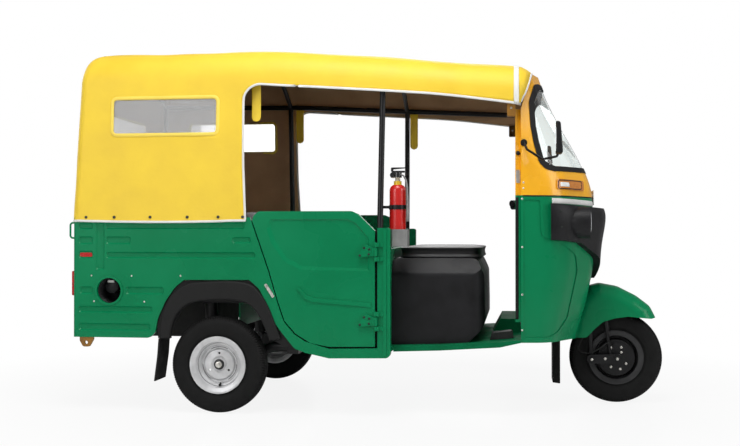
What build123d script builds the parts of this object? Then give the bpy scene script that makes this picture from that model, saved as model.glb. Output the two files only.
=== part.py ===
from build123d import *
import math
import os

os.makedirs("parts", exist_ok=True)

# Overall layout, in millimetres: X forward, Y to the left, Z up, ground at z = 0
REAR_AXLE_X = -750.0
FRONT_AXLE_X = 1316.0
WHEEL_R = 250.0
HALF_TRACK = 630.0
BODY_HALF_W = 680.0
WALL = 18.0
HEM_Z = 1000.0
CAB_REAR_X = 800.0
SIDES = (("right", -1.0), ("left", 1.0))

# Tyre and rim section, radii and half widths
TYRE_HALF_W = 56.0
RIM_SEAT_R = 130.0
RIM_FLANGE_R = 148.0
RIM_HALF_W = 52.0
AXLE_R = 18.0
AXLE_BORE_R = 18.5

# Steering axis: leans back from the wheel centre to the handlebar
STEER_X = 1150.0
STEER_Z = 600.0
STEER_RAKE = 25.0
COLUMN_R = 17.0
HEAD_BORE_R = 17.5
HEAD_TUBE_R = 27.0
WELL_R = 243.0

# Front door hinge line and door skin
HINGE_X = 75.0
HINGE_Y = 694.0
DOOR_THICK = 28.0
DOOR_GAP = 6.0


def side_plane(y):
    """Plane of a side view at height y: local x is forward, local y is up, normal to the right."""
    return Plane(origin=(0, y, 0), x_dir=(1, 0, 0), z_dir=(0, -1, 0))


def slab(points, y_low, y_high):
    """Flat plate with a side-view outline, between two values of y."""
    y_low, y_high = sorted((y_low, y_high))
    face = make_face(Polyline(*points, close=True).edges())
    return extrude(side_plane(y_high) * face, amount=y_high - y_low)


def slab_round(points, radii, y_low, y_high):
    """Side-view plate whose corners are rounded one by one; a radius of 0 leaves a corner sharp."""
    face = make_face(Polyline(*points, close=True).edges())
    for (px, pz), radius in zip(points, radii):
        if radius > 0:
            corner = face.vertices().sort_by_distance((px, pz, 0))[0]
            face = fillet(corner, radius)
    y_low, y_high = sorted((y_low, y_high))
    return extrude(side_plane(y_high) * face, amount=y_high - y_low)


def block(x0, x1, y0, y1, z0, z1):
    """Box between two corners."""
    return Pos((x0 + x1) / 2, (y0 + y1) / 2, (z0 + z1) / 2) * Box(abs(x1 - x0), abs(y1 - y0), abs(z1 - z0))


def rod(a, b, r):
    """Round bar from point a to point b."""
    line = Vector(*b) - Vector(*a)
    return Part() + Solid.make_cylinder(r, line.length, Plane(origin=a, z_dir=line))


def bent_rod(points, r, bend):
    """Round bar along a polyline with equal bend radii."""
    path = FilletPolyline(*points, radius=bend)
    section = Plane(origin=path @ 0, z_dir=path % 0) * Circle(r)
    return sweep(section, path=path)


def ring_y(profile, y):
    """Solid of revolution about the Y axis through the origin, from (radius, y) points."""
    face = make_face(Polyline(*[(r, py) for r, py in profile], close=True).edges())
    turned = revolve(Plane.XY * face, axis=Axis.Y, revolution_arc=360)
    return Pos(0, y, 0) * turned


def both(shape):
    """The shape and its mirror image on the other side of the vehicle."""
    return [shape, mirror(shape, about=Plane.XZ)]


def steer_at(z):
    """Point on the steering axis at height z."""
    return (STEER_X + math.tan(math.radians(STEER_RAKE)) * (STEER_Z - z), 0.0, z)


def steer_plane(z):
    """Plane square to the steering axis at height z, normal upward along the axis."""
    lean = math.radians(STEER_RAKE)
    return Plane(origin=steer_at(z), x_dir=(math.cos(lean), 0, math.sin(lean)),
                 z_dir=(-math.sin(lean), 0, math.cos(lean)))


def write(node, *solids):
    """One STEP file for one node."""
    flat = []
    for solid in solids:
        flat.extend(solid.solids())
    shape = flat[0] if len(flat) == 1 else Compound(children=flat)
    export_step(shape, os.path.join("parts", node + ".step"))


# Tyres: rounded carcass on the rim seat
def tyre(side_y):
    """Tyre section of lines turned about the axle: bead, sidewall, shoulder, crown."""
    half = [(RIM_SEAT_R, 44), (RIM_FLANGE_R + 3, 44.5), (172, 54), (200, TYRE_HALF_W), (226, 54),
            (242, 45), (248, 30), (WHEEL_R, 12)]
    mirrored = [(r, -y) for r, y in reversed(half)]
    return ring_y(half + mirrored, side_y)


# Rims: pressed steel barrel with lips and a dished disc; out is +1 where the disc's face looks left
def rim(side_y, out, disc):
    """Rim turned about the axle; disc lists (radius, offset) along the dish, hub last."""
    seat = RIM_SEAT_R - 0.3
    barrel = [(seat, -45), (seat, 45), (RIM_FLANGE_R - 6, 45), (RIM_FLANGE_R, 48), (RIM_FLANGE_R, 52),
              (RIM_FLANGE_R - 8, 52), (120, 46), (112, 30), (112, -30), (120, -46), (RIM_FLANGE_R - 8, -52),
              (RIM_FLANGE_R, -52), (RIM_FLANGE_R, -48), (RIM_FLANGE_R - 6, -45)]
    shape = ring_y(barrel, 0)
    face = [(r, out * y) for r, y in disc]
    back = [(r, out * (y - 7)) for r, y in reversed(disc)]
    shape = shape + ring_y(face + back, 0)
    hub = [(AXLE_BORE_R, out * 20), (30, out * 20), (38, out * 8), (38, out * -44), (AXLE_BORE_R, out * -44)]
    shape = shape + ring_y(hub, 0)
    lug_circle = 58.0
    for k in range(3):
        angle = math.radians(90 + 120 * k)
        place = (lug_circle * math.cos(angle), 0, lug_circle * math.sin(angle))
        shape = shape - Pos(*place) * Rot(90, 0, 0) * Cylinder(6, 160)
    return Pos(0, side_y, 0) * shape


REAR_DISC = [(114, 22), (104, 20), (96, 8), (84, 6), (76, 16), (44, 20), (34, 14)]
for name, s in SIDES:
    place = Pos(REAR_AXLE_X, 0, WHEEL_R)
    write("rear_tyre_" + name, place * tyre(s * HALF_TRACK))
    write("rear_rim_" + name, place * rim(s * HALF_TRACK, s, REAR_DISC))

FRONT_DISC = [(114, 24), (100, 22), (88, 12), (60, 16), (34, 18)]
front_place = Pos(FRONT_AXLE_X, 0, WHEEL_R)
write("front_tyre", front_place * tyre(0))
write("front_rim", front_place * rim(0, 1.0, FRONT_DISC))

# Rear suspension: on each side a trailing arm with a stub axle and a coil-over damper
ARM_Y = 500.0
ARM_PIVOT = (-410.3, 330.0)
for_arms = []
for name, s in SIDES:
    arm = bent_rod([(ARM_PIVOT[0], s * ARM_Y, ARM_PIVOT[1]), (-490, s * ARM_Y, ARM_PIVOT[1]),
                    (REAR_AXLE_X, s * ARM_Y, WHEEL_R)], 26, 60)
    stub = rod((REAR_AXLE_X, s * (ARM_Y - 20), WHEEL_R), (REAR_AXLE_X, s * (HALF_TRACK + 22), WHEEL_R), AXLE_R)
    plate = rod((REAR_AXLE_X, s * (ARM_Y - 22), WHEEL_R), (REAR_AXLE_X, s * (HALF_TRACK - 52), WHEEL_R), 62)
    damper = rod((REAR_AXLE_X - 70, s * ARM_Y, WHEEL_R + 60), (REAR_AXLE_X - 90, s * ARM_Y, 559), 34)
    lug = rod((REAR_AXLE_X - 10, s * ARM_Y, WHEEL_R), (REAR_AXLE_X - 72, s * ARM_Y, WHEEL_R + 64), 18)
    for_arms.append(arm + stub + plate + damper + lug)
write("rear_suspension", *for_arms)

# Quarter panels: outline in side view with the wheel arch, and pressed beads sunk into the sheet
QUARTER_OUTLINE = [(-1518, 385), (-1115, 385), (-1086, 412), (-1070, 490), (-1029, 578), (-979, 650), (-930, 688),
                   (-583, 690), (-531, 645), (-490, 567), (-450, 474), (-410, 419), (-346, 342), (-290, 321),
                   (-290, 378), (-346, 414), (-403, 479), (-437, 579), (-483, 734), (-545, 912), (-580, 1012),
                   (-1518, 1012)]
QUARTER_ROUND = [0, 40, 24, 120, 160, 120, 8, 12, 60, 160, 160, 100, 40, 0, 0, 0, 90, 0, 0, 0, 0, 0]
BEAD_DEPTH = 7.0
BEAD_FLANK = 6.5
# Beads: x from, x to, z low, z high
BEADS = [(-1355, -608, 951, 984), (-1355, -1220, 873, 914), (-673, -575, 878, 911), (-1355, -551, 799, 833),
         (-1506, -1426, 951, 984), (-1506, -1426, 873, 914), (-1506, -1426, 797, 838), (-1500, -1426, 611, 651),
         (-1245, -1040, 611, 651), (-1505, -1100, 514, 549), (-1505, -1112, 420, 459)]
CHANNEL = (-1410, -1363, 738, 985)
FILLER_X = -1338.0
FILLER_Z = 630.0
FILLER_R = 66.0


def bead(x0, x1, z0, z1, y, s):
    """Pocket of a pressed bead with rounded ends and bevelled flanks: its floor's edges are chamfered."""
    shape = fillet(block(x0, x1, y - s * BEAD_DEPTH, y, z0, z1).edges().filter_by(Axis.Y), 12)
    floor_face = shape.faces().sort_by(Axis.Y)[-1 if s < 0 else 0]
    return chamfer(floor_face.edges(), BEAD_FLANK)


quarter = {}
for name, s in SIDES:
    y_in, y_out = s * (BODY_HALF_W - WALL), s * BODY_HALF_W
    panel = slab_round(QUARTER_OUTLINE, QUARTER_ROUND, min(y_in, y_out), max(y_in, y_out))
    for x0, x1, z0, z1 in BEADS + [CHANNEL]:
        panel = panel - bead(x0, x1, z0, z1, y_out, s)
    if s < 0:
        collar = Pos(FILLER_X, y_out, FILLER_Z) * Rot(90, 0, 0) * Cylinder(FILLER_R + 12, 8)
        panel = panel + collar
        panel = panel - Pos(FILLER_X, y_out, FILLER_Z) * Rot(90, 0, 0) * Cylinder(FILLER_R, 120)
    write("quarter_panel_" + name, panel)
    quarter[name] = panel

# Rear panel: closes the back between the quarter panels, with two pressed ribs and a plate recess
REAR_X = -1518.0
rear = block(REAR_X - WALL, REAR_X, -BODY_HALF_W, BODY_HALF_W, 385, 1012)
rear = fillet(rear.edges().filter_by(Axis.Z).group_by(Axis.X)[0], 16)
for z0, z1 in ((912, 950), (850, 888), (470, 504)):
    rear = rear + block(REAR_X - WALL - 6, REAR_X - WALL, -500, 500, z0, z1)
rear = rear - block(REAR_X - WALL - 8, REAR_X - WALL + 6, -190, 190, 560, 760)
write("rear_panel", rear)

# Arch liners: black moulding under each wheel arch, sunk behind the panel, with a rounded flare standing proud
LINER_OUTER = [(-1072, 384), (-1076, 480), (-1034, 576), (-984, 648), (-935, 684), (-580, 686), (-528, 642), (-487, 565),
               (-447, 472), (-407, 417), (-352, 350)]
LINER_INNER = [(-400, 350), (-463, 385), (-495, 435), (-535, 513), (-583, 565), (-632, 583), (-851, 580), (-900, 566),
               (-941, 538), (-986, 466), (-1006, 384)]
FLARE_OUTER = [(-1056, 384), (-1052, 483), (-1015, 580), (-966, 637), (-909, 669), (-851, 677), (-624, 679), (-567, 663),
               (-519, 617), (-479, 550), (-447, 472), (-415, 389)]
FLARE_INNER = [(-475, 381), (-495, 435), (-535, 513), (-583, 565), (-632, 581), (-851, 578), (-900, 566), (-941, 538),
               (-986, 466), (-1003, 384)]
LINER_HOLLOW = [(-1045, 360), (-1036, 460), (-1002, 556), (-930, 650), (-600, 652), (-513, 540), (-420, 415), (-390, 330)]
FLARE_PROUD = 14.0
for_liners = []
for name, s in SIDES:
    y_back, y_sunk, y_proud = s * (BODY_HALF_W - 90), s * (BODY_HALF_W - 8), s * (BODY_HALF_W + FLARE_PROUD)
    liner = slab(LINER_OUTER + LINER_INNER, y_back, y_sunk)
    liner = liner - slab(LINER_HOLLOW, y_back - s * 40, s * (BODY_HALF_W - 20))
    flare_edges = [Spline(*FLARE_OUTER), Line(FLARE_OUTER[-1], FLARE_INNER[0]), Spline(*FLARE_INNER),
                   Line(FLARE_INNER[-1], FLARE_OUTER[0])]
    low, high = sorted((s * (BODY_HALF_W - 20), y_proud))
    flare = extrude(side_plane(high) * make_face(flare_edges), amount=high - low)
    flare = fillet(flare.faces().sort_by(Axis.Y)[0 if s < 0 else -1].edges(), 9)
    for_liners.append(liner + flare - quarter[name])
write("arch_liners", *for_liners)

# Sill and front door pillar on each side, with the two knuckles that carry the door pins
HINGE_Z = (836.0, 486.0)
KNUCKLE_R = 9.0
PIN_R = 4.0
SILL_OUTLINE = [(-290, 321), (-166, 294), (147, 300), (147, 957), (82, 957), (82, 349), (-166, 343), (-290, 378)]
for_sills = []
for_pins = []
for name, s in SIDES:
    y_a, y_b = s * (BODY_HALF_W - 50), s * BODY_HALF_W
    sill = slab_round(SILL_OUTLINE, [0, 0, 26, 12, 0, 0, 0, 0], min(y_a, y_b), max(y_a, y_b))
    sill = sill + slab([(112, 310), (128, 310), (128, 950), (112, 950)], min(y_b, y_b + s * 5), max(y_b, y_b + s * 5))
    for hz in HINGE_Z:
        for low, high in ((hz - 46, hz - 26), (hz + 26, hz + 46)):
            knuckle = rod((HINGE_X, s * HINGE_Y, low), (HINGE_X, s * HINGE_Y, high), KNUCKLE_R)
            strap = block(HINGE_X, 112, min(s * (HINGE_Y - 6), y_b), max(s * (HINGE_Y - 6), y_b), low, high)
            strap = strap + block(HINGE_X, 92, min(s * (HINGE_Y - 6), s * (HINGE_Y + 6)),
                                  max(s * (HINGE_Y - 6), s * (HINGE_Y + 6)), low, high)
            sill = sill + knuckle + strap
        sill = sill + rod((HINGE_X, s * HINGE_Y, hz - 50), (HINGE_X, s * HINGE_Y, hz + 50), PIN_R)
    for_sills.append(sill)
write("door_pillars", *for_sills)

# Doors: pressed skin with a raised lip, a swage and a lower swoosh, hung on two gusset hinges
DOOR_OUTLINE = [(69, 943), (-16, 1028), (-50, 1043), (-534, 1043), (-560, 1020), (-568, 996), (-539, 914), (-477, 736),
                (-431, 581), (-397, 482), (-341, 419), (-263, 371), (-166, 353), (69, 357)]
DOOR_ROUND = [0, 0, 40, 20, 0, 0, 0, 0, 0, 0, 0, 0, 0, 0]
FIELD_OUTLINE = [(40, 905), (-30, 985), (-70, 1003), (-470, 1003), (-494, 960), (-468, 880), (-400, 786),
                 (-310, 744), (40, 738)]
FIELD_FLOOR = [(34, 902), (-36, 979), (-74, 995), (-461, 995), (-472, 958), (-447, 892), (-388, 806), (-304, 762), (34, 752)]
FIELD_DEPTH = 6.0
SWOOSH = [(-335, 650), (-290, 596), (-250, 580), (50, 556), (50, 578), (-240, 602), (-280, 616), (-318, 654)]
for name, s in SIDES:
    y_out = s * BODY_HALF_W
    y_in = s * (BODY_HALF_W - DOOR_THICK)
    door = slab_round(DOOR_OUTLINE, DOOR_ROUND, min(y_in, y_out), max(y_in, y_out))
    rim_face = side_plane(y_out) * make_face(Polyline(*FIELD_OUTLINE, close=True).edges())
    floor_face = side_plane(y_out - s * FIELD_DEPTH) * make_face(Polyline(*FIELD_FLOOR, close=True).edges())
    door = door - loft([rim_face, floor_face], ruled=True)
    door = door + slab(SWOOSH, min(y_out, y_out + s * 5), max(y_out, y_out + s * 5))
    for hz in HINGE_Z:
        leaf = slab_round([(-24, hz - 30), (60, hz - 21), (60, hz + 21), (20, hz + 40)], [10, 0, 0, 12],
                          min(y_out - s * 6, s * (HINGE_Y - 2)), max(y_out - s * 6, s * (HINGE_Y - 2)))
        tongue = block(58, HINGE_X, min(s * (HINGE_Y - 6), s * (HINGE_Y + 4)),
                       max(s * (HINGE_Y - 6), s * (HINGE_Y + 4)), hz - 21, hz + 21)
        barrel = rod((HINGE_X, s * HINGE_Y, hz - 21), (HINGE_X, s * HINGE_Y, hz + 21), KNUCKLE_R)
        door = door + leaf + tongue + barrel
        door = door - rod((HINGE_X, s * HINGE_Y, hz - 60), (HINGE_X, s * HINGE_Y, hz + 60), PIN_R + 0.4)
    write("door_" + name, door)


# Nose sections, seen from above: rear half width, shoulder corner, nose corner, and the two corner radii
def nose_face(row, inset, rear_x):
    """Symmetrical plan outline at one height; inset moves it inward by that much."""
    z, rear_w, sh_x, sh_y, nose_x, flat_y, r_sh, r_nose = row
    half = [(rear_x, rear_w - inset), (sh_x - 0.5 * inset, sh_y - 0.85 * inset), (nose_x - inset, flat_y - 0.3 * inset)]
    points = [(x, -y) for x, y in half] + [(x, y) for x, y in reversed(half)]
    face = make_face(Polyline(*points, close=True).edges())
    for index, radius in ((1, r_sh), (2, r_nose), (3, r_nose), (4, r_sh)):
        px, py = points[index]
        face = fillet(face.vertices().sort_by_distance((px, py, 0))[0], radius - 0.6 * inset)
    return Pos(0, 0, z) * face


def nose_loft(table, inset, rear_x):
    """Smooth body through the plan outlines of a table."""
    return loft([nose_face(row, inset, rear_x) for row in table])


# Cowl: z, rear half width, shoulder x, shoulder y, nose x, nose half flat, shoulder radius, nose radius
COWL_TABLE = [(375, 560, 940, 540, 1088, 285, 150, 150),
              (520, 575, 970, 548, 1130, 278, 170, 180),
              (690, 585, 1000, 545, 1172, 255, 190, 220),
              (920, 592, 1020, 540, 1190, 235, 200, 250),
              (1122, 590, 1010, 530, 1180, 225, 200, 250)]
COWL_WALL = 14.0
WELL_TOP_Z = 665.0
cowl_outer = nose_loft(COWL_TABLE, 0, CAB_REAR_X)
cowl_inner = nose_loft(COWL_TABLE, COWL_WALL, CAB_REAR_X - 60)
well_plane = steer_plane(WELL_TOP_Z)
well_cut = Part() + Solid.make_cylinder(WELL_R, 700, Plane(origin=well_plane.origin, z_dir=-well_plane.z_dir))
CREASE = [(814, 1100), (896, 1100), (900, 915), (990, 889), (1080, 822), (1090, 737), (1037, 492), (985, 424), (940, 402),
          (814, 402)]
CREASE_ROUND = [10, 14, 40, 70, 50, 90, 90, 40, 20, 10]
CREASE_DEPTH = 4.0
side_field = (cowl_outer - nose_loft(COWL_TABLE, CREASE_DEPTH, CAB_REAR_X)) & slab_round(CREASE, CREASE_ROUND, -800, 800)
FLANGE_X = 772.0
cowl_flange = nose_loft(COWL_TABLE, 8, FLANGE_X) - nose_loft(COWL_TABLE, 20, FLANGE_X - 60)
cowl_flange = cowl_flange & block(FLANGE_X - 10, CAB_REAR_X + 1, -700, 700, 480, 1122)
cowl = cowl_outer - cowl_inner - well_cut - side_field + cowl_flange
write("cowl", cowl)

# Wheel well: closed drum round the steering axis that keeps the front wheel out of the cab
well_out = Part() + Solid.make_cylinder(WELL_R - 0.3, 420, Plane(origin=well_plane.origin, z_dir=-well_plane.z_dir))
well_in_plane = steer_plane(WELL_TOP_Z - 6)
well_in = Part() + Solid.make_cylinder(WELL_R - 7, 700, Plane(origin=well_in_plane.origin, z_dir=-well_in_plane.z_dir))
well = (well_out - well_in) & nose_loft(COWL_TABLE, 0.5, CAB_REAR_X)
well = well - rod(steer_at(WELL_TOP_Z + 60), steer_at(WELL_TOP_Z - 60), HEAD_TUBE_R + 8)
write("front_well", well)

# Windshield frame: upper nose, raked and narrowing, opened by the wrapped window
FRAME_TABLE = [(1122.3, 590, 1010, 530, 1182, 225, 200, 250),
               (1250, 582, 985, 515, 1146, 230, 180, 250),
               (1480, 555, 915, 500, 1022, 260, 130, 200),
               (1720, 515, 855, 478, 905, 300, 90, 150),
               (1755, 508, 848, 470, 893, 300, 80, 130)]
FRAME_WALL = 26.0
WINDOW = [(872, 1712), (840, 1600), (848, 1480), (862, 1400), (890, 1292), (925, 1256), (970, 1246), (1400, 1256),
          (1400, 1712)]
WINDOW_ROUND = [40, 60, 0, 0, 60, 40, 0, 0, 0]
GASKET_W = 26.0
frame_outer = nose_loft(FRAME_TABLE, 0, CAB_REAR_X)
frame_inner = nose_loft(FRAME_TABLE, FRAME_WALL, CAB_REAR_X - 60)
window_cut = slab_round(WINDOW, WINDOW_ROUND, -800, 800)
rear_trim = slab([(700, 1100), (800, 1100), (800, 1563), (840, 1700), (845, 1820), (700, 1820)], -800, 800)
frame = frame_outer - frame_inner - window_cut - rear_trim
flange = nose_loft(FRAME_TABLE, 10, FLANGE_X) - nose_loft(FRAME_TABLE, 22, FLANGE_X - 60)
flange = flange & block(FLANGE_X - 10, CAB_REAR_X + 1, -700, 700, 1122.3, 1563)
frame = frame + flange
write("windshield_frame", frame)

# Gasket and glass: both follow the same raked surface inside the frame's opening
INNER_WINDOW = [(896, 1686), (868, 1596), (876, 1482), (890, 1406), (916, 1306), (940, 1284), (976, 1273), (1400, 1283),
                (1400, 1686)]
inner_cut = slab_round(INNER_WINDOW, [30, 50, 0, 0, 40, 30, 0, 0, 0], -800, 800)
gasket = nose_loft(FRAME_TABLE, -3, CAB_REAR_X) - nose_loft(FRAME_TABLE, 18, CAB_REAR_X - 60)
gasket = gasket & window_cut
gasket = gasket - inner_cut
write("windshield_gasket", *gasket.solids())
glass = nose_loft(FRAME_TABLE, 4, CAB_REAR_X) - nose_loft(FRAME_TABLE, 10, CAB_REAR_X - 60)
glass = glass & inner_cut
write("windshield_glass", glass)

# Headlamp mask: black moulding that wraps the nose and runs down to a V under the lamps
MASK_TABLE = [(660, 585, 985, 562, 1182, 250, 150, 200),
              (770, 592, 1010, 566, 1222, 245, 170, 220),
              (940, 602, 1032, 570, 1243, 235, 190, 240),
              (1062, 602, 1032, 566, 1243, 225, 190, 240),
              (1095, 598, 1018, 552, 1218, 215, 180, 230)]
MASK_FRONT = [(-640, 1088), (640, 1088), (640, 905), (430, 880), (250, 800), (55, 684), (-55, 684), (-250, 800),
              (-430, 880), (-640, 905)]
LAMP_Y = 462.0
LAMP_Z = 985.0
LAMP_R = 74.0
LAMP_FACE_X = 1146.0
mask_face = make_face(Polyline(*MASK_FRONT, close=True).edges())
mask_prism = extrude(Plane(origin=(950, 0, 0), x_dir=(0, 1, 0), z_dir=(1, 0, 0)) * mask_face, amount=400)
mask = nose_loft(MASK_TABLE, 0, CAB_REAR_X) & mask_prism
for y in (-LAMP_Y, LAMP_Y):
    back = Spline((1006, 0), (1018, 34), (1052, 66), (1098, 79), (LAMP_FACE_X + 4, LAMP_R + 8))
    pod_face = make_face([back, Line((LAMP_FACE_X + 4, LAMP_R + 8), (LAMP_FACE_X + 4, 0)), Line((LAMP_FACE_X + 4, 0), (1006, 0))])
    pod = revolve(Plane.XY * pod_face, axis=Axis.X, revolution_arc=360)
    mask = mask + Pos(0, y, LAMP_Z) * pod
mask = mask - cowl_outer - slab([(900, 1085), (1300, 1058), (1300, 1200), (900, 1200)], -800, 800)
for y in (-LAMP_Y, LAMP_Y):
    mask = mask - rod((LAMP_FACE_X - 12, y, LAMP_Z), (1400, y, LAMP_Z), LAMP_R)
write("headlamp_mask", mask.solids().sort_by(SortBy.VOLUME)[-1])

# Headlamp lenses: shallow domes in the pods
for_lenses = []
for y in (-LAMP_Y, LAMP_Y):
    lens_face = make_face(Polyline((LAMP_FACE_X - 12, 0), (LAMP_FACE_X - 12, LAMP_R - 0.5), (LAMP_FACE_X, LAMP_R - 0.5),
                                   (LAMP_FACE_X + 9, LAMP_R - 24), (LAMP_FACE_X + 13, 0), close=True).edges())
    lens = revolve(Plane.XY * lens_face, axis=Axis.X, revolution_arc=360)
    for_lenses.append(Pos(0, y, LAMP_Z) * lens - cowl_outer)
write("headlamp_lenses", *for_lenses)

# Front indicators: amber blocks let in round the corner of the frame
lamp_shell = nose_loft(FRAME_TABLE, -9, CAB_REAR_X) - frame_outer
for_indicators = []
for name, s in SIDES:
    window = slab_round([(984, 1156), (1128, 1150), (1128, 1204), (984, 1208)], [10, 10, 10, 10], s * 60, s * 700)
    for_indicators.append(lamp_shell & window)
write("indicators", *for_indicators)

# Floor: flat passenger floor between the sills, cab floor rising toward the toe board
floor = block(-349, 150, -629.7, 629.7, 330, 352)
cab_floor = slab([(150, 322), (389, 331), (694, 351), (800, 376), (972, 376), (972, 390), (800, 390), (694, 378),
                  (389, 360), (150, 352)], -574, 574)
cab_room = nose_loft(COWL_TABLE, COWL_WALL + 0.4, CAB_REAR_X - 60)
cab_floor = (cab_floor & block(140, CAB_REAR_X - 0.4, -700, 700, 300, 500)) + (cab_floor & cab_room)
toe_board = slab([(640, 370), (798, 388), (798, 462), (690, 462)], -150, 420)
write("floor_pan", floor + cab_floor + toe_board)

# Chassis: backbone, cross beam for the trailing arms, rear rails and the head tube on its down tube
CROSS_X = (-410.0, -350.0)
chassis = block(CROSS_X[1], 640, -60, 60, 296, 321.7)
chassis = chassis + block(CROSS_X[0], CROSS_X[1], -560, 560, 300, 360)
for s in (-1.0, 1.0):
    chassis = chassis + block(CROSS_X[0], CROSS_X[1], s * 470, s * 530, 360, 600)
    chassis = chassis + block(-1500, CROSS_X[1], s * 470, s * 530, 562, 600)
chassis = chassis + block(-1500, -1450, -470, 470, 562, 600)
chassis = chassis + block(-900, -860, -470, 470, 562, 600)
write("chassis_frame", chassis)

# Head tube and its brace: carries the steering column at the nose
head = rod(steer_at(690), steer_at(1000), HEAD_TUBE_R)
brace = bent_rod([(830, 0, 390.3), (830, 0, 640), (steer_at(860)[0] - 10, 0, 860)], 24, 80)
foot = block(805, 895, -70, 70, 390.3, 402)
head = head + brace + foot
head = head - rod(steer_at(640), steer_at(1050), HEAD_BORE_R)
write("head_tube", head)

# Steering column and fork: column in the head tube, yoke over the wheel, one leg down its right side
LEG_Y = -82.0
PIVOT = (1181.0, 245.0)
column = rod(steer_at(560), steer_at(1078), COLUMN_R)
collar = rod(steer_at(672), steer_at(684), HEAD_TUBE_R)
yoke = rod(steer_at(545), steer_at(590), 30)
leg = bent_rod([(1160, 0, 568), (1166, LEG_Y, 552), (PIVOT[0], LEG_Y, PIVOT[1])], 13, 30)
boss = rod((PIVOT[0], LEG_Y - 16, PIVOT[1]), (PIVOT[0], LEG_Y + 14, PIVOT[1]), 20)
write("steering_fork", column + collar + yoke + leg + boss)

# Leading link: arm from the pivot to the axle, brake plate and front axle
LINK_Y = (-100.0, -120.0)
link = slab_round([(PIVOT[0] - 24, 222), (PIVOT[0] - 24, 268), (FRONT_AXLE_X + 26, 276), (FRONT_AXLE_X + 26, 224)],
                  [20, 20, 22, 22], LINK_Y[0], LINK_Y[1])
axle = rod((FRONT_AXLE_X, LINK_Y[1] - 8, WHEEL_R), (FRONT_AXLE_X, 40, WHEEL_R), AXLE_R)
plate = rod((FRONT_AXLE_X, -51, WHEEL_R), (FRONT_AXLE_X, -60, WHEEL_R), 98)
plate = plate + rod((FRONT_AXLE_X, -60, WHEEL_R), (FRONT_AXLE_X, -68, WHEEL_R), 84)
spacer = rod((FRONT_AXLE_X, -60, WHEEL_R), (FRONT_AXLE_X, LINK_Y[0], WHEEL_R), 22)
pin = rod((PIVOT[0], LINK_Y[1] - 10, PIVOT[1]), (PIVOT[0], LEG_Y - 16, PIVOT[1]), 12)
write("front_link", link + axle + plate + spacer + pin)

# Front damper: strut between the yoke arm and the link
DAMPER_LOW = (1282.0, 260.0)
DAMPER_Y = -84.0
damper = rod((DAMPER_LOW[0], DAMPER_Y, DAMPER_LOW[1]), (1262, DAMPER_Y, 420), 9)
damper = damper + rod((1266, DAMPER_Y, 395), (1246, DAMPER_Y, 540), 13)
damper = damper + rod((DAMPER_LOW[0], LINK_Y[0] + 0.3, DAMPER_LOW[1]), (DAMPER_LOW[0], DAMPER_Y, DAMPER_LOW[1]), 9)
write("front_damper", damper)

# Front mudguard: rounded shell over the wheel, turning with the fork
GUARD_OUTLINE = [(1052, 357), (1066, 470), (1112, 585), (1172, 640), (1229, 655), (1327, 637), (1424, 588), (1497, 532),
                 (1556, 476), (1500, 466), (1376, 478), (1302, 467), (1241, 447), (1198, 409), (1155, 362)]
GUARD_ROUND = [8, 80, 70, 60, 60, 120, 120, 80, 2, 40, 60, 60, 40, 40, 10]
GUARD_HALF_W = 112.0
GUARD_WALL = 5.0
GUARD_CROWN_R = 78.0
GUARD_CROWN = 9


def guard_solid(inset):
    """Crown of the side outline carried across and rounded over along both shoulders, open ends run long."""
    cx, cz = FRONT_AXLE_X - 20, 430.0
    points = []
    for x, z in GUARD_OUTLINE[:GUARD_CROWN]:
        reach = math.hypot(x - cx, z - cz)
        points.append((x - inset * (x - cx) / reach, z - inset * (z - cz) / reach))
    points[0] = (points[0][0], 300.0)
    points[-1] = (points[-1][0] - 4, 420.0)
    rounds = [0] + GUARD_ROUND[1:GUARD_CROWN - 1] + [0, 0, 0]
    half = GUARD_HALF_W - inset
    body = slab_round(points + [(1400, 300), (1155, 300)], rounds, -half, half)
    shoulders = [e for e in body.edges() if abs(abs(e.center().Y) - half) < 1 and e.center().Z > 482]
    return fillet(shoulders, GUARD_CROWN_R - inset)


guard = guard_solid(0.0) - guard_solid(GUARD_WALL)
guard = guard & slab_round(GUARD_OUTLINE, GUARD_ROUND, -200, 200)
guard = guard - rod(steer_at(500), steer_at(800), COLUMN_R + 0.3)
write("front_mudguard", guard.solids().sort_by(SortBy.VOLUME)[-1])

# Handlebar: swept-back tube on the column head with two grips and a lamp-switch block
BAR_Z = 1086.0
bar_x = steer_at(BAR_Z)[0]
bar = bent_rod([(762, -335, BAR_Z), (870, -225, BAR_Z + 6), (bar_x, -60, BAR_Z + 4), (bar_x, 60, BAR_Z + 4),
                (870, 225, BAR_Z + 6), (762, 335, BAR_Z)], 12, 45)
for s in (-1.0, 1.0):
    bar = bar + rod((752, s * 345, BAR_Z), (828, s * 268, BAR_Z + 3), 18)
clamp = rod(steer_at(1078.3), steer_at(1116), 34)
write("handlebar", bar + clamp)

# Canopy: arched vinyl cover; rows give x, hem half width, eave half width, eave z, shoulder y, shoulder z, crown z
CANOPY_WALL = 8.0
CANOPY_REAR = (-1560, 689.3, 652, 1730, 505, 1893, 1950)
CANOPY_MID = (-560, 689.3, 652, 1730, 505, 1893, 1950)
CANOPY_EASE = (-400, 687.5, 651, 1728, 504.5, 1890, 1946.5)
CANOPY_CAB = (100, 676, 640, 1700, 500, 1845, 1905)
CANOPY_FRONT = (870, 645, 600, 1640, 470, 1778, 1835)
SEAM_Z = 1668.0


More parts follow.
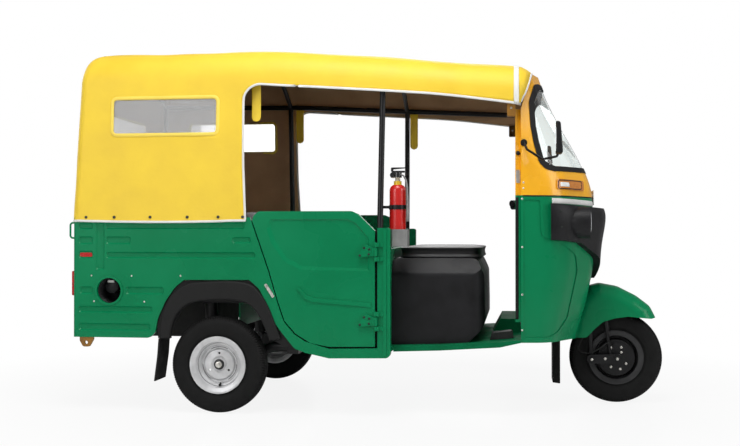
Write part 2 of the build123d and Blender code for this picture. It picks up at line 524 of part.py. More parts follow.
def arch_face(row, inset):
    """Cross-section of the cover: straight walls, shoulder arcs and one crown arc, closed along the hem."""
    x, hem_w, eave_w, eave_z, sh_y, sh_z, crown_z = row
    hem = (hem_w - inset, HEM_Z - 4)
    eave = (eave_w - inset, eave_z)
    shoulder = (sh_y - 0.35 * inset, sh_z - 0.95 * inset)
    bulge = (0.5 * (eave[0] + shoulder[0]) + 0.19 * (shoulder[1] - eave[1]),
             0.5 * (eave[1] + shoulder[1]) + 0.19 * (eave[0] - shoulder[0]))
    edges = [Line((-hem[0], hem[1]), (-eave[0], eave[1])),
             ThreePointArc((-eave[0], eave[1]), (-bulge[0], bulge[1]), (-shoulder[0], shoulder[1])),
             ThreePointArc((-shoulder[0], shoulder[1]), (0, crown_z - inset), shoulder),
             ThreePointArc(shoulder, bulge, eave),
             Line(eave, hem),
             Line(hem, (-hem[0], hem[1]))]
    return Plane(origin=(x, 0, 0), x_dir=(0, 1, 0), z_dir=(1, 0, 0)) * make_face(edges)


def canopy_solid(inset):
    """Whole cover as a solid, trimmed in side view to its raked back and front."""
    tail = extrude(arch_face(CANOPY_REAR, inset), amount=CANOPY_MID[0] - CANOPY_REAR[0])
    nose = loft([arch_face(row, inset) for row in (CANOPY_MID, CANOPY_EASE, CANOPY_CAB, CANOPY_FRONT)])
    trim = [(-1546 + inset, HEM_Z - 4), (-1510 + inset, 1952 - inset), (852, 1952 - inset), (852, 1800), (784, 1579),
            (784, HEM_Z - 4)]
    return (tail + nose) & slab_round(trim, [0, 120, 0, 0, 0, 0], -900, 900)


SIDE_OPENING = [(-598, 900), (-618, 1290), (-622, 1708), (-329, 1687), (88, 1659), (395, 1637), (697, 1597),
                (1000, 1555), (1000, 900)]
SIDE_WINDOW = [(-1326, 1448), (-760, 1448), (-760, 1635), (-1326, 1635)]
shell = canopy_solid(0) - canopy_solid(CANOPY_WALL)
shell = shell - slab_round(SIDE_OPENING, [0, 0, 90, 0, 0, 0, 0, 0, 0], -900, 900)
window_hole = slab_round(SIDE_WINDOW, [22, 22, 22, 22], -900, 900)
rear_hole = block(-1600, -1480, -360, 360, 1390, 1600)
below_seam = block(-1700, -560, -900, 900, 900, SEAM_Z)
roof = shell - below_seam
lower = (shell & below_seam) - window_hole - rear_hole
rear_zone = block(-1700, -1500, -900, 900, 900, SEAM_Z)
write("canopy_roof", roof)
write("canopy_rear", lower & rear_zone)
write("canopy_sides", *(lower - rear_zone).solids())

# Clear windows set in the cover
pane_skin = canopy_solid(2) - canopy_solid(6)
side_panes = pane_skin & slab_round([(-1325.7, 1448.3), (-760.3, 1448.3), (-760.3, 1634.7), (-1325.7, 1634.7)],
                                    [22, 22, 22, 22], -900, 900)
rear_pane = pane_skin & block(-1600, -1480, -359.7, 359.7, 1390.3, 1599.7)
write("canopy_windows", *side_panes.solids(), rear_pane)

# Roof frame: two rails and four bows of round tube under the cover
TUBE_R = 15.0
RAIL_PATH = [(-1488, 604, 1738), (-600, 604, 1726), (98, 596, 1690), (765, 560, 1652)]
BOWS = [(-1470, 1738, 1860), (-650, 1727, 1906), (98, 1690, 1862), (758, 1652, 1808)]
rails = bent_rod(RAIL_PATH, TUBE_R, 400)
roof_frame = rails + mirror(rails, about=Plane.XZ)
for bx, rail_z, crown_z in BOWS:
    reach = 604 if bx < 0 else (596 if bx < 300 else 560)
    path = ThreePointArc((bx, -reach, rail_z), (bx, 0, crown_z), (bx, reach, rail_z))
    section = Plane(origin=path @ 0, z_dir=path % 0) * Circle(TUBE_R - 2)
    roof_frame = roof_frame + sweep(section, path=path)
write("roof_frame", roof_frame)

# Posts: rear corner, door and partition posts on each side
POSTS = [((-1470, 646.4, 700), (-1478, 604, 1738)), ((-640, 646.4, 760), (-648, 604, 1728)),
         ((92, 655, 957.3), (100, 596, 1690))]
rail_room = bent_rod(RAIL_PATH, TUBE_R + 0.3, 400)
for_posts = []
for low, high in POSTS:
    step = [0.03 * (b - a) for a, b in zip(low, high)]
    post = rod([a - d for a, d in zip(low, step)], high, TUBE_R)
    post = post - block(low[0] - 60, low[0] + 60, 400, 800, low[2] - 80, low[2]) - rail_room
    for_posts.extend(both(post.solids().sort_by(SortBy.VOLUME)[-1]))
write("posts", *for_posts)

# Hanging straps: flat webbing loops from the roof rails
STRAPS = [(-566, -603.5, 1512, 1708.6), (-587, 603.5, 1500, 1709.6), (142, 594, 1452, 1671.5)]
both_rails = bent_rod(RAIL_PATH, TUBE_R + 0.4, 400)
both_rails = both_rails + mirror(both_rails, about=Plane.XZ)
for_straps = []
for x, y, z0, z1 in STRAPS:
    strap = block(x - 24, x + 24, y - 2, y + 2, z0, z1)
    strap = fillet(strap.edges().filter_by(Axis.Y).group_by(Axis.Z)[0], 20) - both_rails
    for_straps.append(strap.solids().sort_by(SortBy.VOLUME)[-1])
write("straps", *for_straps)

# Driver seat: moulded box with a sloping shoulder and a flat cushion
SEAT_HALF_W = 520.0
SEAT_TOP_HALF_W = 455.0
seat_box = slab_round([(134, 352.3), (520, 358), (618, 450), (612, 716), (575, 800), (150, 800), (134, 780)],
                      [0, 60, 90, 60, 40, 12, 0], -SEAT_HALF_W, SEAT_HALF_W)
shoulder_points = [(-SEAT_HALF_W, 300), (SEAT_HALF_W, 300), (SEAT_HALF_W, 722), (SEAT_TOP_HALF_W, 800),
                   (SEAT_TOP_HALF_W, 830), (-SEAT_TOP_HALF_W, 830), (-SEAT_TOP_HALF_W, 800), (-SEAT_HALF_W, 722)]
shoulder_face = make_face(Polyline(*shoulder_points, close=True).edges())
for py in (-SEAT_HALF_W, SEAT_HALF_W):
    shoulder_face = fillet(shoulder_face.vertices().sort_by_distance((py, 722, 0))[0], 40)
seat_box = seat_box & extrude(Plane(origin=(100, 0, 0), x_dir=(0, 1, 0), z_dir=(1, 0, 0)) * shoulder_face, amount=540)
seat_plan = block(100, 616, -SEAT_HALF_W, SEAT_HALF_W, 300, 830)
seat_box = seat_box & fillet(seat_plan.edges().filter_by(Axis.Z).group_by(Axis.X)[-1], 70)
seat_box = seat_box - slab([(100, 300), (694, 300), (694, 378.3), (389, 360.3), (150, 352.3), (100, 352.3)], -700, 700)
write("driver_seat_base", seat_box)
cushion = block(161, 600, -SEAT_TOP_HALF_W, SEAT_TOP_HALF_W, 800.3, 864)
cushion = fillet(cushion.edges().group_by(Axis.Z)[-1], 26)
write("driver_seat_cushion", cushion)

# Bulkhead behind the driver, bench base, bench cushion and backrest
write("bulkhead", block(106, 133.7, -610, 610, 352.3, 850))
bench = block(-694, -215, -585, 585, 600.3, 640) + block(-235, -215, -585, 585, 352.3, 600.3)
bench = bench + block(-694, -686, -469.7, 469.7, 430, 600.3)
write("bench_base", bench)
bench_cushion = fillet(block(-660, -200, -585, 585, 640.3, 760).edges().group_by(Axis.Z)[-1], 30)
write("bench_cushion", bench_cushion)
backrest = slab_round([(-668, 760.3), (-560, 760.3), (-622, 1046), (-700, 1046)], [0, 0, 34, 20], -585, 585)
write("bench_backrest", backrest)

# Luggage deck behind the bench, narrowed past the wheel arches and notched round the filler neck
deck = block(-1500, -1090, -661, 661, 600.3, 614) + block(-1090, -700, -580, 580, 600.3, 614)
deck = deck - block(-1440, -1236, -700, -560, 590, 620)
write("luggage_deck", deck)

# Engine: one plain block at its real place under the deck
engine = fillet(block(-1330, -880, -240, 240, 350, 561.7).edges().filter_by(Axis.Z), 40)
write("engine", engine)

# Mud flaps: one behind each rear wheel and one curved flap behind the front wheel
for_flaps = [slab([(-1064, 383.7), (-1056, 383.7), (-1062, 290), (-1080, 162), (-1088, 162), (-1071, 290)], s * 690, s * 530)
             for s in (-1.0, 1.0)]
front_flap_plan = [(972.3, -96), (972.3, 96), (1006, 128), (1012, 122), (980, 93), (980, -93), (1012, -122), (1006, -128)]
front_flap = extrude(Pos(0, 0, 112) * make_face(Polyline(*front_flap_plan, close=True).edges()), amount=256)
for_flaps.append(front_flap + block(972.3, 978, -80, 80, 300, 388))
write("mud_flaps", *for_flaps)

# Mirrors: bent stalk from the windshield pillar, rounded head
for_stalks = []
for_heads = []
for name, s in SIDES:
    stalk = bent_rod([(815, s * 570, 1390), (830, s * 606, 1352), (905, s * 690, 1296), (974, s * 735, 1306),
                      (980, s * 738, 1322)], 6, 12)
    stalk = stalk + rod((815, s * 560, 1392), (815, s * 574, 1388), 17)
    stalk = stalk - frame_outer
    head = slab_round([(968, 1318), (1002, 1318), (990, 1474), (968, 1474)], [10, 10, 14, 6], s * 684, s * 800)
    head = fillet(head.edges().filter_by(Axis.Z, tolerance=8), 8)
    for_heads.append(head)
    for_stalks.append(stalk - head)
write("mirror_stalks", *[piece.solids().sort_by(SortBy.VOLUME)[-1] for piece in for_stalks])
write("mirror_heads", *for_heads)

# Number plates: blank plates front and back
plate_front = fillet(block(1188, 1192, -150, 150, 1082, 1162).edges().filter_by(Axis.X), 10)
for y in (-90, 90):
    plate_front = plate_front + rod((1130, y, 1134), (1189, y, 1134), 6)
plate_front = plate_front - nose_loft(FRAME_TABLE, 0, CAB_REAR_X) - cowl_outer
plate_rear = fillet(block(REAR_X - WALL + 2.5, REAR_X - WALL + 5.7, -170, 170, 585, 735).edges().filter_by(Axis.X), 10)
write("number_plates", plate_front.solids().sort_by(SortBy.VOLUME)[-1], plate_rear)

# Tail lamps on the rear panel
for_tails = []
for name, s in SIDES:
    tail = block(REAR_X - WALL - 28, REAR_X - WALL - 0.3, s * 520, s * 640, 600, 730)
    for_tails.append(fillet(tail.faces().sort_by(Axis.X)[0].edges(), 12))
write("tail_lamps", *for_tails)

# Loop handle on the rear panel and tow plate under the right rear corner
LOOP_Y = -657.0
loop = bent_rod([(REAR_X - WALL - 0.3, LOOP_Y, 985), (-1561, LOOP_Y, 985), (-1561, LOOP_Y, 905),
                 (REAR_X - WALL - 0.3, LOOP_Y, 905)], 5, 14)
write("rear_handle", loop)
TOW_R = 9.0
tow = slab_round([(-1500, 384.7), (-1500, 366), (-1482, 334), (-1446, 334), (-1424, 372), (-1424, 384.7)],
                 [0, 0, 16, 16, 0, 0], -676, -664)
tow = tow - rod((-1464, -700, 356), (-1464, -640, 356), TOW_R)
write("tow_plate", tow)

# Fire extinguisher on its box beside the partition post
EXT_X = 176.0
EXT_Y = -596.0
EXT_R = 42.0
box = block(147.3, 232, -645, -552, 862, 950)
write("cab_box", fillet(box.edges().filter_by(Axis.Z), 8))
bottle = rod((EXT_X, EXT_Y, 950.3), (EXT_X, EXT_Y, 1180), EXT_R)
bottle = fillet(bottle.edges().group_by(Axis.Z)[-1], 30)
bottle = bottle + rod((EXT_X, EXT_Y, 1175), (EXT_X, EXT_Y, 1197), 20)
bottle = bottle + rod((EXT_X, EXT_Y, 1195), (EXT_X, EXT_Y, 1220), 13)
bottle = bottle + rod((EXT_X, EXT_Y, 1214), (EXT_X, EXT_Y, 1242), 21)
bottle = bottle + rod((EXT_X - 24, EXT_Y - 4, 1228), (EXT_X - 24, EXT_Y + 4, 1228), 16)
lever_low = slab_round([(-30, 1240), (34, 1240), (40, 1246), (34, 1250), (-30, 1250)], [0, 0, 0, 0, 0], -9, 9)
lever_high = slab_round([(-34, 1246), (-26, 1246), (-22, 1257), (38, 1262), (38, 1267), (-34, 1267)], [0, 0, 0, 0, 0, 6], -9, 9)
bottle = bottle + Pos(EXT_X, EXT_Y, 0) * (lever_low + lever_high)
write("extinguisher", bottle)
strap_ring = rod((EXT_X, EXT_Y, 1052), (EXT_X, EXT_Y, 1074), EXT_R + 3) - rod((EXT_X, EXT_Y, 1000), (EXT_X, EXT_Y, 1100), EXT_R + 0.3)
strap_arm = block(100, EXT_X - 24, EXT_Y - 48, EXT_Y - 36, 1056, 1070)
bracket = strap_ring + strap_arm
bracket = bracket - rod((92, -655, 957.3), (100, -600, 1666), TUBE_R + 0.3)
write("extinguisher_bracket", bracket.solids().sort_by(SortBy.VOLUME)[-1])

# Foot pedal and dash shelf
pedal = slab_round([(640, 376), (760, 386), (758, 424), (648, 410)], [0, 0, 10, 10], -440, -340)
pedal = pedal - slab([(600, 300), (800, 300), (800, 390.3), (694, 378.3), (600, 372.5)], -700, 700)
write("foot_pedal", pedal)
dash = block(1050, 1300, -430, 430, 1130, 1144) & nose_loft(FRAME_TABLE, FRAME_WALL + 0.4, CAB_REAR_X - 60)
write("dash_shelf", dash)
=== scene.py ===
import math

import bpy
import mathutils
import mathutils.bvhtree
import numpy as np
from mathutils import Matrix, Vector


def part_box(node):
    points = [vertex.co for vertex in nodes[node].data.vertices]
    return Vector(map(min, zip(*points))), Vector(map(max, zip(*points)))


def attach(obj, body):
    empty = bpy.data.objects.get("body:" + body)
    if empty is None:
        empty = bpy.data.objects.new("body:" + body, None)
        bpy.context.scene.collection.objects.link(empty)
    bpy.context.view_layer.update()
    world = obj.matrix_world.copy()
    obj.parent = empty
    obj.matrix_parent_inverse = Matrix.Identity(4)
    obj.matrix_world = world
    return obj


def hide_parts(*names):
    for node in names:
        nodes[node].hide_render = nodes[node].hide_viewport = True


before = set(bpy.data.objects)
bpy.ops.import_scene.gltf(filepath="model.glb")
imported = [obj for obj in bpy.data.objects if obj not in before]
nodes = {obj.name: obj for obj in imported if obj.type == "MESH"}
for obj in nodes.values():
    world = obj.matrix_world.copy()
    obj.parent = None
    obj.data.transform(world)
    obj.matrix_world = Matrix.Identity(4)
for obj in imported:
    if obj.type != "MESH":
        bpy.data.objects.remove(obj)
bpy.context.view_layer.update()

# Studio: the vehicle stands on a plain white floor in soft, even light, as for a catalogue picture.
# The camera stands level with the cab on the right-hand side, at about the height of the door tops.
WHITE = (1.0, 1.0, 1.0, 1.0)


def add_object(name, data):
    """New object at the origin, linked to the scene."""
    thing = bpy.data.objects.new(name, data)
    bpy.context.collection.objects.link(thing)
    return thing


camera_data = bpy.data.cameras.new("side_camera")
camera_data.sensor_width = 36.0
camera_data.lens = 50.66
camera = add_object("side_camera", camera_data)
camera.location = (0.787, -5.893, 0.941)
camera.rotation_euler = (math.radians(90.448), 0.0, math.radians(8.106))
bpy.context.scene.camera = camera
bpy.context.scene.view_settings.view_transform = "Standard"


def soft_lamp(name, place, aim, size, watts):
    """Square area lamp at a place, turned so that its -Z axis points at the aim."""
    data = bpy.data.lights.new(name, "AREA")
    data.shape = "SQUARE"
    data.size = size
    data.energy = watts
    lamp = add_object(name, data)
    lamp.location = place
    way = mathutils.Vector(aim) - mathutils.Vector(place)
    lamp.rotation_euler = way.to_track_quat("-Z", "Y").to_euler()


soft_lamp("overhead_box", (0.2, -2.2, 5.0), (0.0, 0.0, 0.8), 2.4, 152.0)
soft_lamp("near_box", (-3.4, -5.6, 2.6), (0.0, 0.0, 0.9), 2.6, 98.0)
soft_lamp("front_box", (5.4, -2.4, 2.6), (0.8, 0.0, 0.8), 2.6, 90.0)
soft_lamp("far_box", (-1.0, 5.5, 3.2), (0.0, 0.0, 1.0), 3.5, 85.0)
soft_lamp("rear_box", (-5.6, 1.6, 2.8), (-0.8, 0.0, 0.9), 2.6, 48.0)


def set_sockets(node, values):
    """Sets a node's input sockets by name."""
    for socket, value in values.items():
        node.inputs[socket].default_value = value


def add_node(tree, kind, values=None, **settings):
    """New shader node of a kind, with its own settings and the values of its input sockets."""
    node = tree.nodes.new("ShaderNode" + kind)
    for setting, value in settings.items():
        setattr(node, setting, value)
    set_sockets(node, values or {})
    return node


def join(tree, *links):
    """Links nodes of a tree; each link is a node, its output, the next node and its input."""
    for source, output, target, entry in links:
        tree.links.new(source.outputs[output], target.inputs[entry])


world = bpy.data.worlds.new("white_room")
bpy.context.scene.world = world
world.use_nodes = True
room = world.node_tree
room.nodes.clear()
room_light = add_node(room, "Background", {"Color": WHITE, "Strength": 0.30})
room_seen = add_node(room, "Background", {"Color": WHITE, "Strength": 1.0})
rays = add_node(room, "LightPath")
seen_any = add_node(room, "Math", operation="MAXIMUM")
pick = add_node(room, "MixShader")
room_out = add_node(room, "OutputWorld")
join(room, (rays, "Is Camera Ray", seen_any, 0), (rays, "Is Transmission Ray", seen_any, 1),
     (seen_any, 0, pick, "Fac"), (room_light, 0, pick, 1), (room_seen, 0, pick, 2),
     (pick, 0, room_out, "Surface"))


def quads_of(index):
    """Quads over an array of point numbers, one for each square of the array."""
    return np.stack([index[:-1, :-1], index[1:, :-1], index[1:, 1:], index[:-1, 1:]], axis=-1)


def new_mesh(name, points, quads):
    """Mesh of quads over points, both as whole arrays."""
    mesh = bpy.data.meshes.new(name)
    mesh.from_pydata(points.reshape(-1, 3).tolist(), [], quads.reshape(-1, 4).tolist())
    mesh.update()
    return mesh


def grid_mesh(name, points, wrap_u=False, wrap_v=False, flip=False):
    """Quads over points of shape (rows, columns, 3); wrapped rows or columns close on themselves."""
    rows, cols = points.shape[:2]
    index = np.arange(rows * cols).reshape(rows, cols)
    if wrap_u:
        index = np.vstack([index, index[:1]])
    if wrap_v:
        index = np.hstack([index, index[:, :1]])
    quads = quads_of(index)
    return new_mesh(name, points, quads[..., ::-1] if flip else quads)


FLOOR_REACH = 40.0
floor_span = np.linspace(-FLOOR_REACH, FLOOR_REACH, 3)
fx, fy = np.meshgrid(floor_span, floor_span, indexing="ij")
floor_mesh = grid_mesh("white_floor", np.stack([fx, fy, np.zeros_like(fx)], axis=-1))
floor_piece = add_object("white_floor", floor_mesh)
floor_finish = bpy.data.materials.new("white_floor")
floor_finish.use_nodes = True
ft = floor_finish.node_tree
ft.nodes.clear()
floor_body = add_node(ft, "BsdfPrincipled", {"Base Color": (0.86, 0.86, 0.86, 1.0), "Roughness": 0.24,
                                             "Specular IOR Level": 0.3})
floor_glow = add_node(ft, "Emission", {"Color": WHITE})
floor_rays = add_node(ft, "LightPath")
floor_share = add_node(ft, "Math", operation="MULTIPLY")
floor_place = add_node(ft, "TexCoord")
floor_reach = add_node(ft, "VectorMath", operation="LENGTH")
floor_fade = add_node(ft, "MapRange", {"From Min": 1.6, "From Max": 3.2, "To Min": 0.88, "To Max": 1.0})
floor_mix = add_node(ft, "MixShader")
floor_out = add_node(ft, "OutputMaterial")
join(ft, (floor_place, "Object", floor_reach, 0), (floor_reach, "Value", floor_fade, "Value"),
     (floor_rays, "Is Camera Ray", floor_share, 0), (floor_fade, "Result", floor_share, 1),
     (floor_share, 0, floor_mix, "Fac"), (floor_body, 0, floor_mix, 1), (floor_glow, 0, floor_mix, 2),
     (floor_mix, 0, floor_out, "Surface"))
floor_mesh.materials.append(floor_finish)


# Chassis steel: welded tube and plate under black stove paint, a little uneven in gloss.
# The same paint covers the trailing arms, dampers, head tube, fork, posts, roof tubes and handlebar.
def mottle_group():
    """Two noises on Object coordinates: a broad one for colour and gloss, a fine one for height."""
    tree = bpy.data.node_groups.new("mottle", "ShaderNodeTree")
    for socket, way in (("Broad Scale", "INPUT"), ("Fine Scale", "INPUT"),
                        ("Factor", "OUTPUT"), ("Height", "OUTPUT")):
        tree.interface.new_socket(socket, in_out=way, socket_type="NodeSocketFloat")
    source = tree.nodes.new("NodeGroupInput")
    result = tree.nodes.new("NodeGroupOutput")
    coords = add_node(tree, "TexCoord")
    broad = add_node(tree, "TexNoise", {"Detail": 4.0})
    fine = add_node(tree, "TexNoise", {"Detail": 2.0})
    spread = add_node(tree, "MapRange", {"From Min": 0.3, "From Max": 0.7})
    join(tree, (coords, "Object", broad, "Vector"), (coords, "Object", fine, "Vector"),
         (source, "Broad Scale", broad, "Scale"), (source, "Fine Scale", fine, "Scale"),
         (broad, "Fac", spread, "Value"), (spread, "Result", result, "Factor"),
         (fine, "Fac", result, "Height"))
    return tree


mottle = mottle_group()


def mottled(name, broad, fine, strength, depth):
    """New material whose surface is raised by the mottle's fine height: material, shader and mottle node."""
    material = bpy.data.materials.new(name)
    material.use_nodes = True
    tree = material.node_tree
    shader = tree.nodes["Principled BSDF"]
    pattern = add_node(tree, "Group", {"Broad Scale": broad, "Fine Scale": fine}, node_tree=mottle)
    bump = add_node(tree, "Bump", {"Strength": strength, "Distance": depth})
    join(tree, (pattern, "Height", bump, "Height"), (bump, "Normal", shader, "Normal"))
    return material, shader, pattern


def finish(name, dark, light, rough, broad, fine, depth, **sockets):
    """Material that runs between two colours and two roughnesses over the mottle, with a fine bump.

    Other Principled sockets are set by keyword, their spaces written as underscores."""
    material, shader, pattern = mottled(name, broad, fine, 0.35, depth)
    tree = material.node_tree
    blend = add_node(tree, "Mix", {"A": (*dark, 1.0), "B": (*light, 1.0)}, data_type="RGBA")
    gloss = add_node(tree, "MapRange", {"To Min": rough[0], "To Max": rough[1]})
    join(tree, (pattern, "Factor", blend, "Factor"), (pattern, "Factor", gloss, "Value"),
         (blend, "Result", shader, "Base Color"), (gloss, "Result", shader, "Roughness"))
    set_sockets(shader, {socket.replace("_", " "): value for socket, value in sockets.items()})
    return material


def dress(material, *names):
    """Puts one finish on carried-over solids."""
    for name in names:
        mesh = nodes[name].data
        mesh.materials.clear()
        mesh.materials.append(material)


black_steel = finish("black_chassis_paint", (0.004, 0.004, 0.0045), (0.009, 0.009, 0.010), (0.30, 0.46),
                     14.0, 420.0, 0.0006, Specular_IOR_Level=0.3)
dress(black_steel, "chassis_frame", "rear_suspension", "head_tube", "steering_fork", "front_link",
      "front_damper", "roof_frame", "posts", "mirror_stalks", "extinguisher_bracket", "handlebar")


# Tyres: black moulded rubber with a ribbed tread, short cut blocks at the shoulder and ringed sidewalls.
# Each tyre is seated on its rim; it replaces the plain solid ring and keeps inside that ring's section.
AXLE_Z = 0.25
FRONT_AXLE_X = 1.316
REAR_AXLE_X = -0.75
HALF_TRACK = 0.63
TYRE_HALF = np.array([(0.1302, 0.0436), (0.150, 0.0440), (0.160, 0.0478), (0.1605, 0.0490), (0.164, 0.0494),
                      (0.172, 0.0530), (0.186, 0.0552), (0.200, 0.0558), (0.212, 0.0552), (0.224, 0.0535),
                      (0.2255, 0.0528), (0.234, 0.0490), (0.240, 0.0455), (0.2442, 0.0400), (0.2462, 0.0340),
                      (0.2475, 0.0290), (0.2484, 0.0235), (0.2486, 0.0205), (0.244, 0.0195), (0.244, 0.0165),
                      (0.2492, 0.0155), (0.2495, 0.0090), (0.2497, 0.0060), (0.245, 0.0050), (0.245, 0.0020)])
TYRE_COLUMNS = 720
BLOCK_COLUMNS = 6
CUT_COLUMNS = 2
CUT_DEPTH = 0.0060
tyre_rubber = finish("tyre_rubber", (0.005, 0.005, 0.005), (0.010, 0.010, 0.010), (0.55, 0.75),
                     30.0, 900.0, 0.0005, Specular_IOR_Level=0.15)


def add_piece(name, mesh, body, material, smooth=True):
    """Object at the origin for a mesh, riding on a body with a finish."""
    piece = add_object(name, mesh)
    mesh.materials.append(material)
    mesh.polygons.foreach_set("use_smooth", [smooth] * len(mesh.polygons))
    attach(piece, body)
    return piece


def add_surface(name, points, body, slot, material, **closing):
    """Piece over a grid of points; closing says which way the grid wraps and whether its faces turn over."""
    return add_piece(name, grid_mesh(name, points, **closing), body, material)


def tyre_surface(centre):
    """Half section of (radius, offset), mirrored and turned about the axle; cuts lower the shoulder."""
    profile = np.vstack([TYRE_HALF, (TYRE_HALF * (1.0, -1.0))[::-1]])
    angle = np.linspace(0.0, 2.0 * np.pi, TYRE_COLUMNS, endpoint=False)
    radius, offset = profile[:, :1], profile[:, 1:]
    far_out = np.clip((np.abs(offset) - 0.026) / 0.008, 0.0, 1.0)
    shoulder = far_out * np.clip((radius - 0.232) / 0.006, 0.0, 1.0)
    cut = (np.arange(TYRE_COLUMNS) % BLOCK_COLUMNS < CUT_COLUMNS).astype(float)
    radius = radius - CUT_DEPTH * shoulder * cut
    ring = np.broadcast_arrays(radius * np.cos(angle), offset, radius * np.sin(angle))
    return np.array(centre) + np.stack(ring, axis=-1)


for node, body, centre in (("front_tyre", "front_wheel", (FRONT_AXLE_X, 0.0, AXLE_Z)),
                           ("rear_tyre_right", "rear_wheel_right", (REAR_AXLE_X, -HALF_TRACK, AXLE_Z)),
                           ("rear_tyre_left", "rear_wheel_left", (REAR_AXLE_X, HALF_TRACK, AXLE_Z))):
    tyre = add_surface("treaded_" + node, tyre_surface(centre), body, "tyre_rubber", tyre_rubber,
                       wrap_u=True, wrap_v=True, flip=True)
    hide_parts(node)


# Rims: pressed steel dishes welded into rolled rims, silver enamel on the rear wheels and black on the front.
# The dish, lips and lug holes are the solid; ribs, seams, hub cap, axle end and valve sit on its outer face.
UP = (0.0, 0.0, 1.0)
SIDES = (("right", -1.0), ("left", 1.0))
RIB_R = 0.090
SEAM_HALF = 0.0014
CAP = [(-0.004, 0.0), (-0.004, 0.028), (0.001, 0.028), (0.003, 0.026), (0.004, 0.024), (0.004, 0.0)]
AXLE_END = [(-0.004, 0.0), (-0.004, 0.017), (0.012, 0.017), (0.0145, 0.015), (0.0150, 0.008), (0.0150, 0.0)]
VALVE = [(0.0, 0.0), (0.0, 0.0045), (0.018, 0.0045), (0.018, 0.006), (0.028, 0.006), (0.029, 0.0)]
silver_enamel = finish("silver_enamel", (0.50, 0.50, 0.51), (0.66, 0.66, 0.67), (0.28, 0.45),
                       22.0, 700.0, 0.0005, Metallic=0.35)
black_enamel = finish("black_enamel", (0.010, 0.010, 0.011), (0.020, 0.020, 0.021), (0.30, 0.48),
                      22.0, 700.0, 0.0005)
zinc_steel = finish("zinc_plate", (0.52, 0.50, 0.46), (0.72, 0.70, 0.66), (0.25, 0.42),
                    60.0, 900.0, 0.0003, Metallic=1.0)
dress(silver_enamel, "rear_rim_right", "rear_rim_left")
dress(black_enamel, "front_rim")


def turned(profile, centre, axis, steps):
    """Profile of (distance along axis, radius) turned about an axis through a centre, one row each."""
    axis = np.array(axis, float) / np.linalg.norm(axis)
    other = np.array(UP) if abs(axis[2]) < 0.9 else np.array((1.0, 0.0, 0.0))
    side = np.cross(other, axis)
    side = side / np.linalg.norm(side)
    up = np.cross(axis, side)
    angle = np.linspace(0.0, 2.0 * np.pi, steps, endpoint=False)
    ring = np.cos(angle)[:, None] * side + np.sin(angle)[:, None] * up
    along, radius = np.array(profile).T[:, :, None, None]
    return np.array(centre) + along * axis + radius * ring[None]


def turned_set(name, places, profile, axis, steps, body, material, smooth=True):
    """Like turned pieces at several places, joined into one mesh of closed shells."""
    shells = np.stack([turned(profile, place, axis, steps) for place in places])
    count, rows, cols = shells.shape[:3]
    index = np.arange(rows * cols).reshape(rows, cols)
    quads = quads_of(np.hstack([index, index[:, :1]]).T)
    faces = quads + (rows * cols * np.arange(count))[:, None, None, None]
    return add_piece(name, new_mesh(name, shells, faces), body, material, smooth)


def arc_rib(turn_at, way):
    """Low half-round rib on the dish: a short arc about the axle, rising from and falling to nothing."""
    share = np.linspace(0.0, 1.0, 33)
    angle = turn_at + math.pi / 3.0 + np.radians(76.0) * (share - 0.5)
    rise = np.sin(np.pi * share) ** 0.5
    around = np.linspace(0.0, 2.0 * np.pi, 12, endpoint=False)
    radius = RIB_R + 0.0055 * rise[:, None] * np.cos(around)[None, :]
    height = 0.0070 + 0.0045 * rise[:, None] * np.sin(around)[None, :]
    return np.stack([REAR_AXLE_X + radius * np.cos(angle)[:, None], way * HALF_TRACK + way * height,
                     AXLE_Z + radius * np.sin(angle)[:, None]], axis=-1)


def swept(path, out, half_width, half_thick, sides=10, closed=False):
    """Oval section carried along a path: thick along the outward ways, wide across them and the run."""
    path = np.asarray(path, float)
    out = np.broadcast_to(np.asarray(out, float), path.shape)
    if closed:
        run = np.roll(path, -1, axis=0) - np.roll(path, 1, axis=0)
    else:
        run = np.gradient(path, axis=0)
    run = run / np.maximum(np.linalg.norm(run, axis=1, keepdims=True), 1e-12)
    across = np.cross(run, out)
    across = across / np.maximum(np.linalg.norm(across, axis=1, keepdims=True), 1e-12)
    lift = np.cross(across, run)
    angle = np.linspace(0.0, 2.0 * np.pi, sides, endpoint=False)[None, :, None]
    oval = np.cos(angle) * half_width * across[:, None] + np.sin(angle) * half_thick * lift[:, None]
    rings = path[:, None] + oval
    if not closed:
        start, end = (np.repeat(path[k:k + 1], sides, axis=0)[None] for k in (0, len(path) - 1))
        rings = np.concatenate([start, rings, end], axis=0)
    return rings


for side, way in SIDES:
    body = "rear_wheel_" + side
    for number, turn_at in enumerate(np.radians((90.0, 210.0, 330.0))):
        add_surface("dish_arc_%s_%d" % (side, number), arc_rib(turn_at, way), body, "silver_steel",
                    silver_enamel, wrap_v=True, flip=way > 0)
    seam = np.linspace(0.0, 2.0 * np.pi, 96, endpoint=False)
    for ring_r, ring_y in ((0.1120, 0.0232), (0.0905, 0.0082)):
        path = np.stack([REAR_AXLE_X + ring_r * np.cos(seam), np.full(96, way * (HALF_TRACK + ring_y)),
                         AXLE_Z + ring_r * np.sin(seam)], axis=1)
        groove = swept(path, (0.0, way, 0.0), SEAM_HALF, SEAM_HALF, closed=True)
        add_surface("dish_seam_%s_%d" % (side, 1000 * ring_r), groove, body, "black_steel", black_enamel,
                    wrap_u=True, wrap_v=True)
    for name, stand, profile, slot, material in (("hub_cap_", 0.020, CAP, "black_steel", black_enamel),
                                                 ("axle_end_", 0.022, AXLE_END, "bright_steel", zinc_steel)):
        place = (REAR_AXLE_X, way * (HALF_TRACK + stand), AXLE_Z)
        turned_set(name + side, [place], profile, (0.0, way, 0.0), 40, body, material)
    valve_at = (REAR_AXLE_X + 0.006, way * (HALF_TRACK + 0.014), AXLE_Z - 0.098)
    turned_set("valve_" + side, [valve_at], VALVE, (0.1, way, -0.25), 14, body, tyre_rubber)
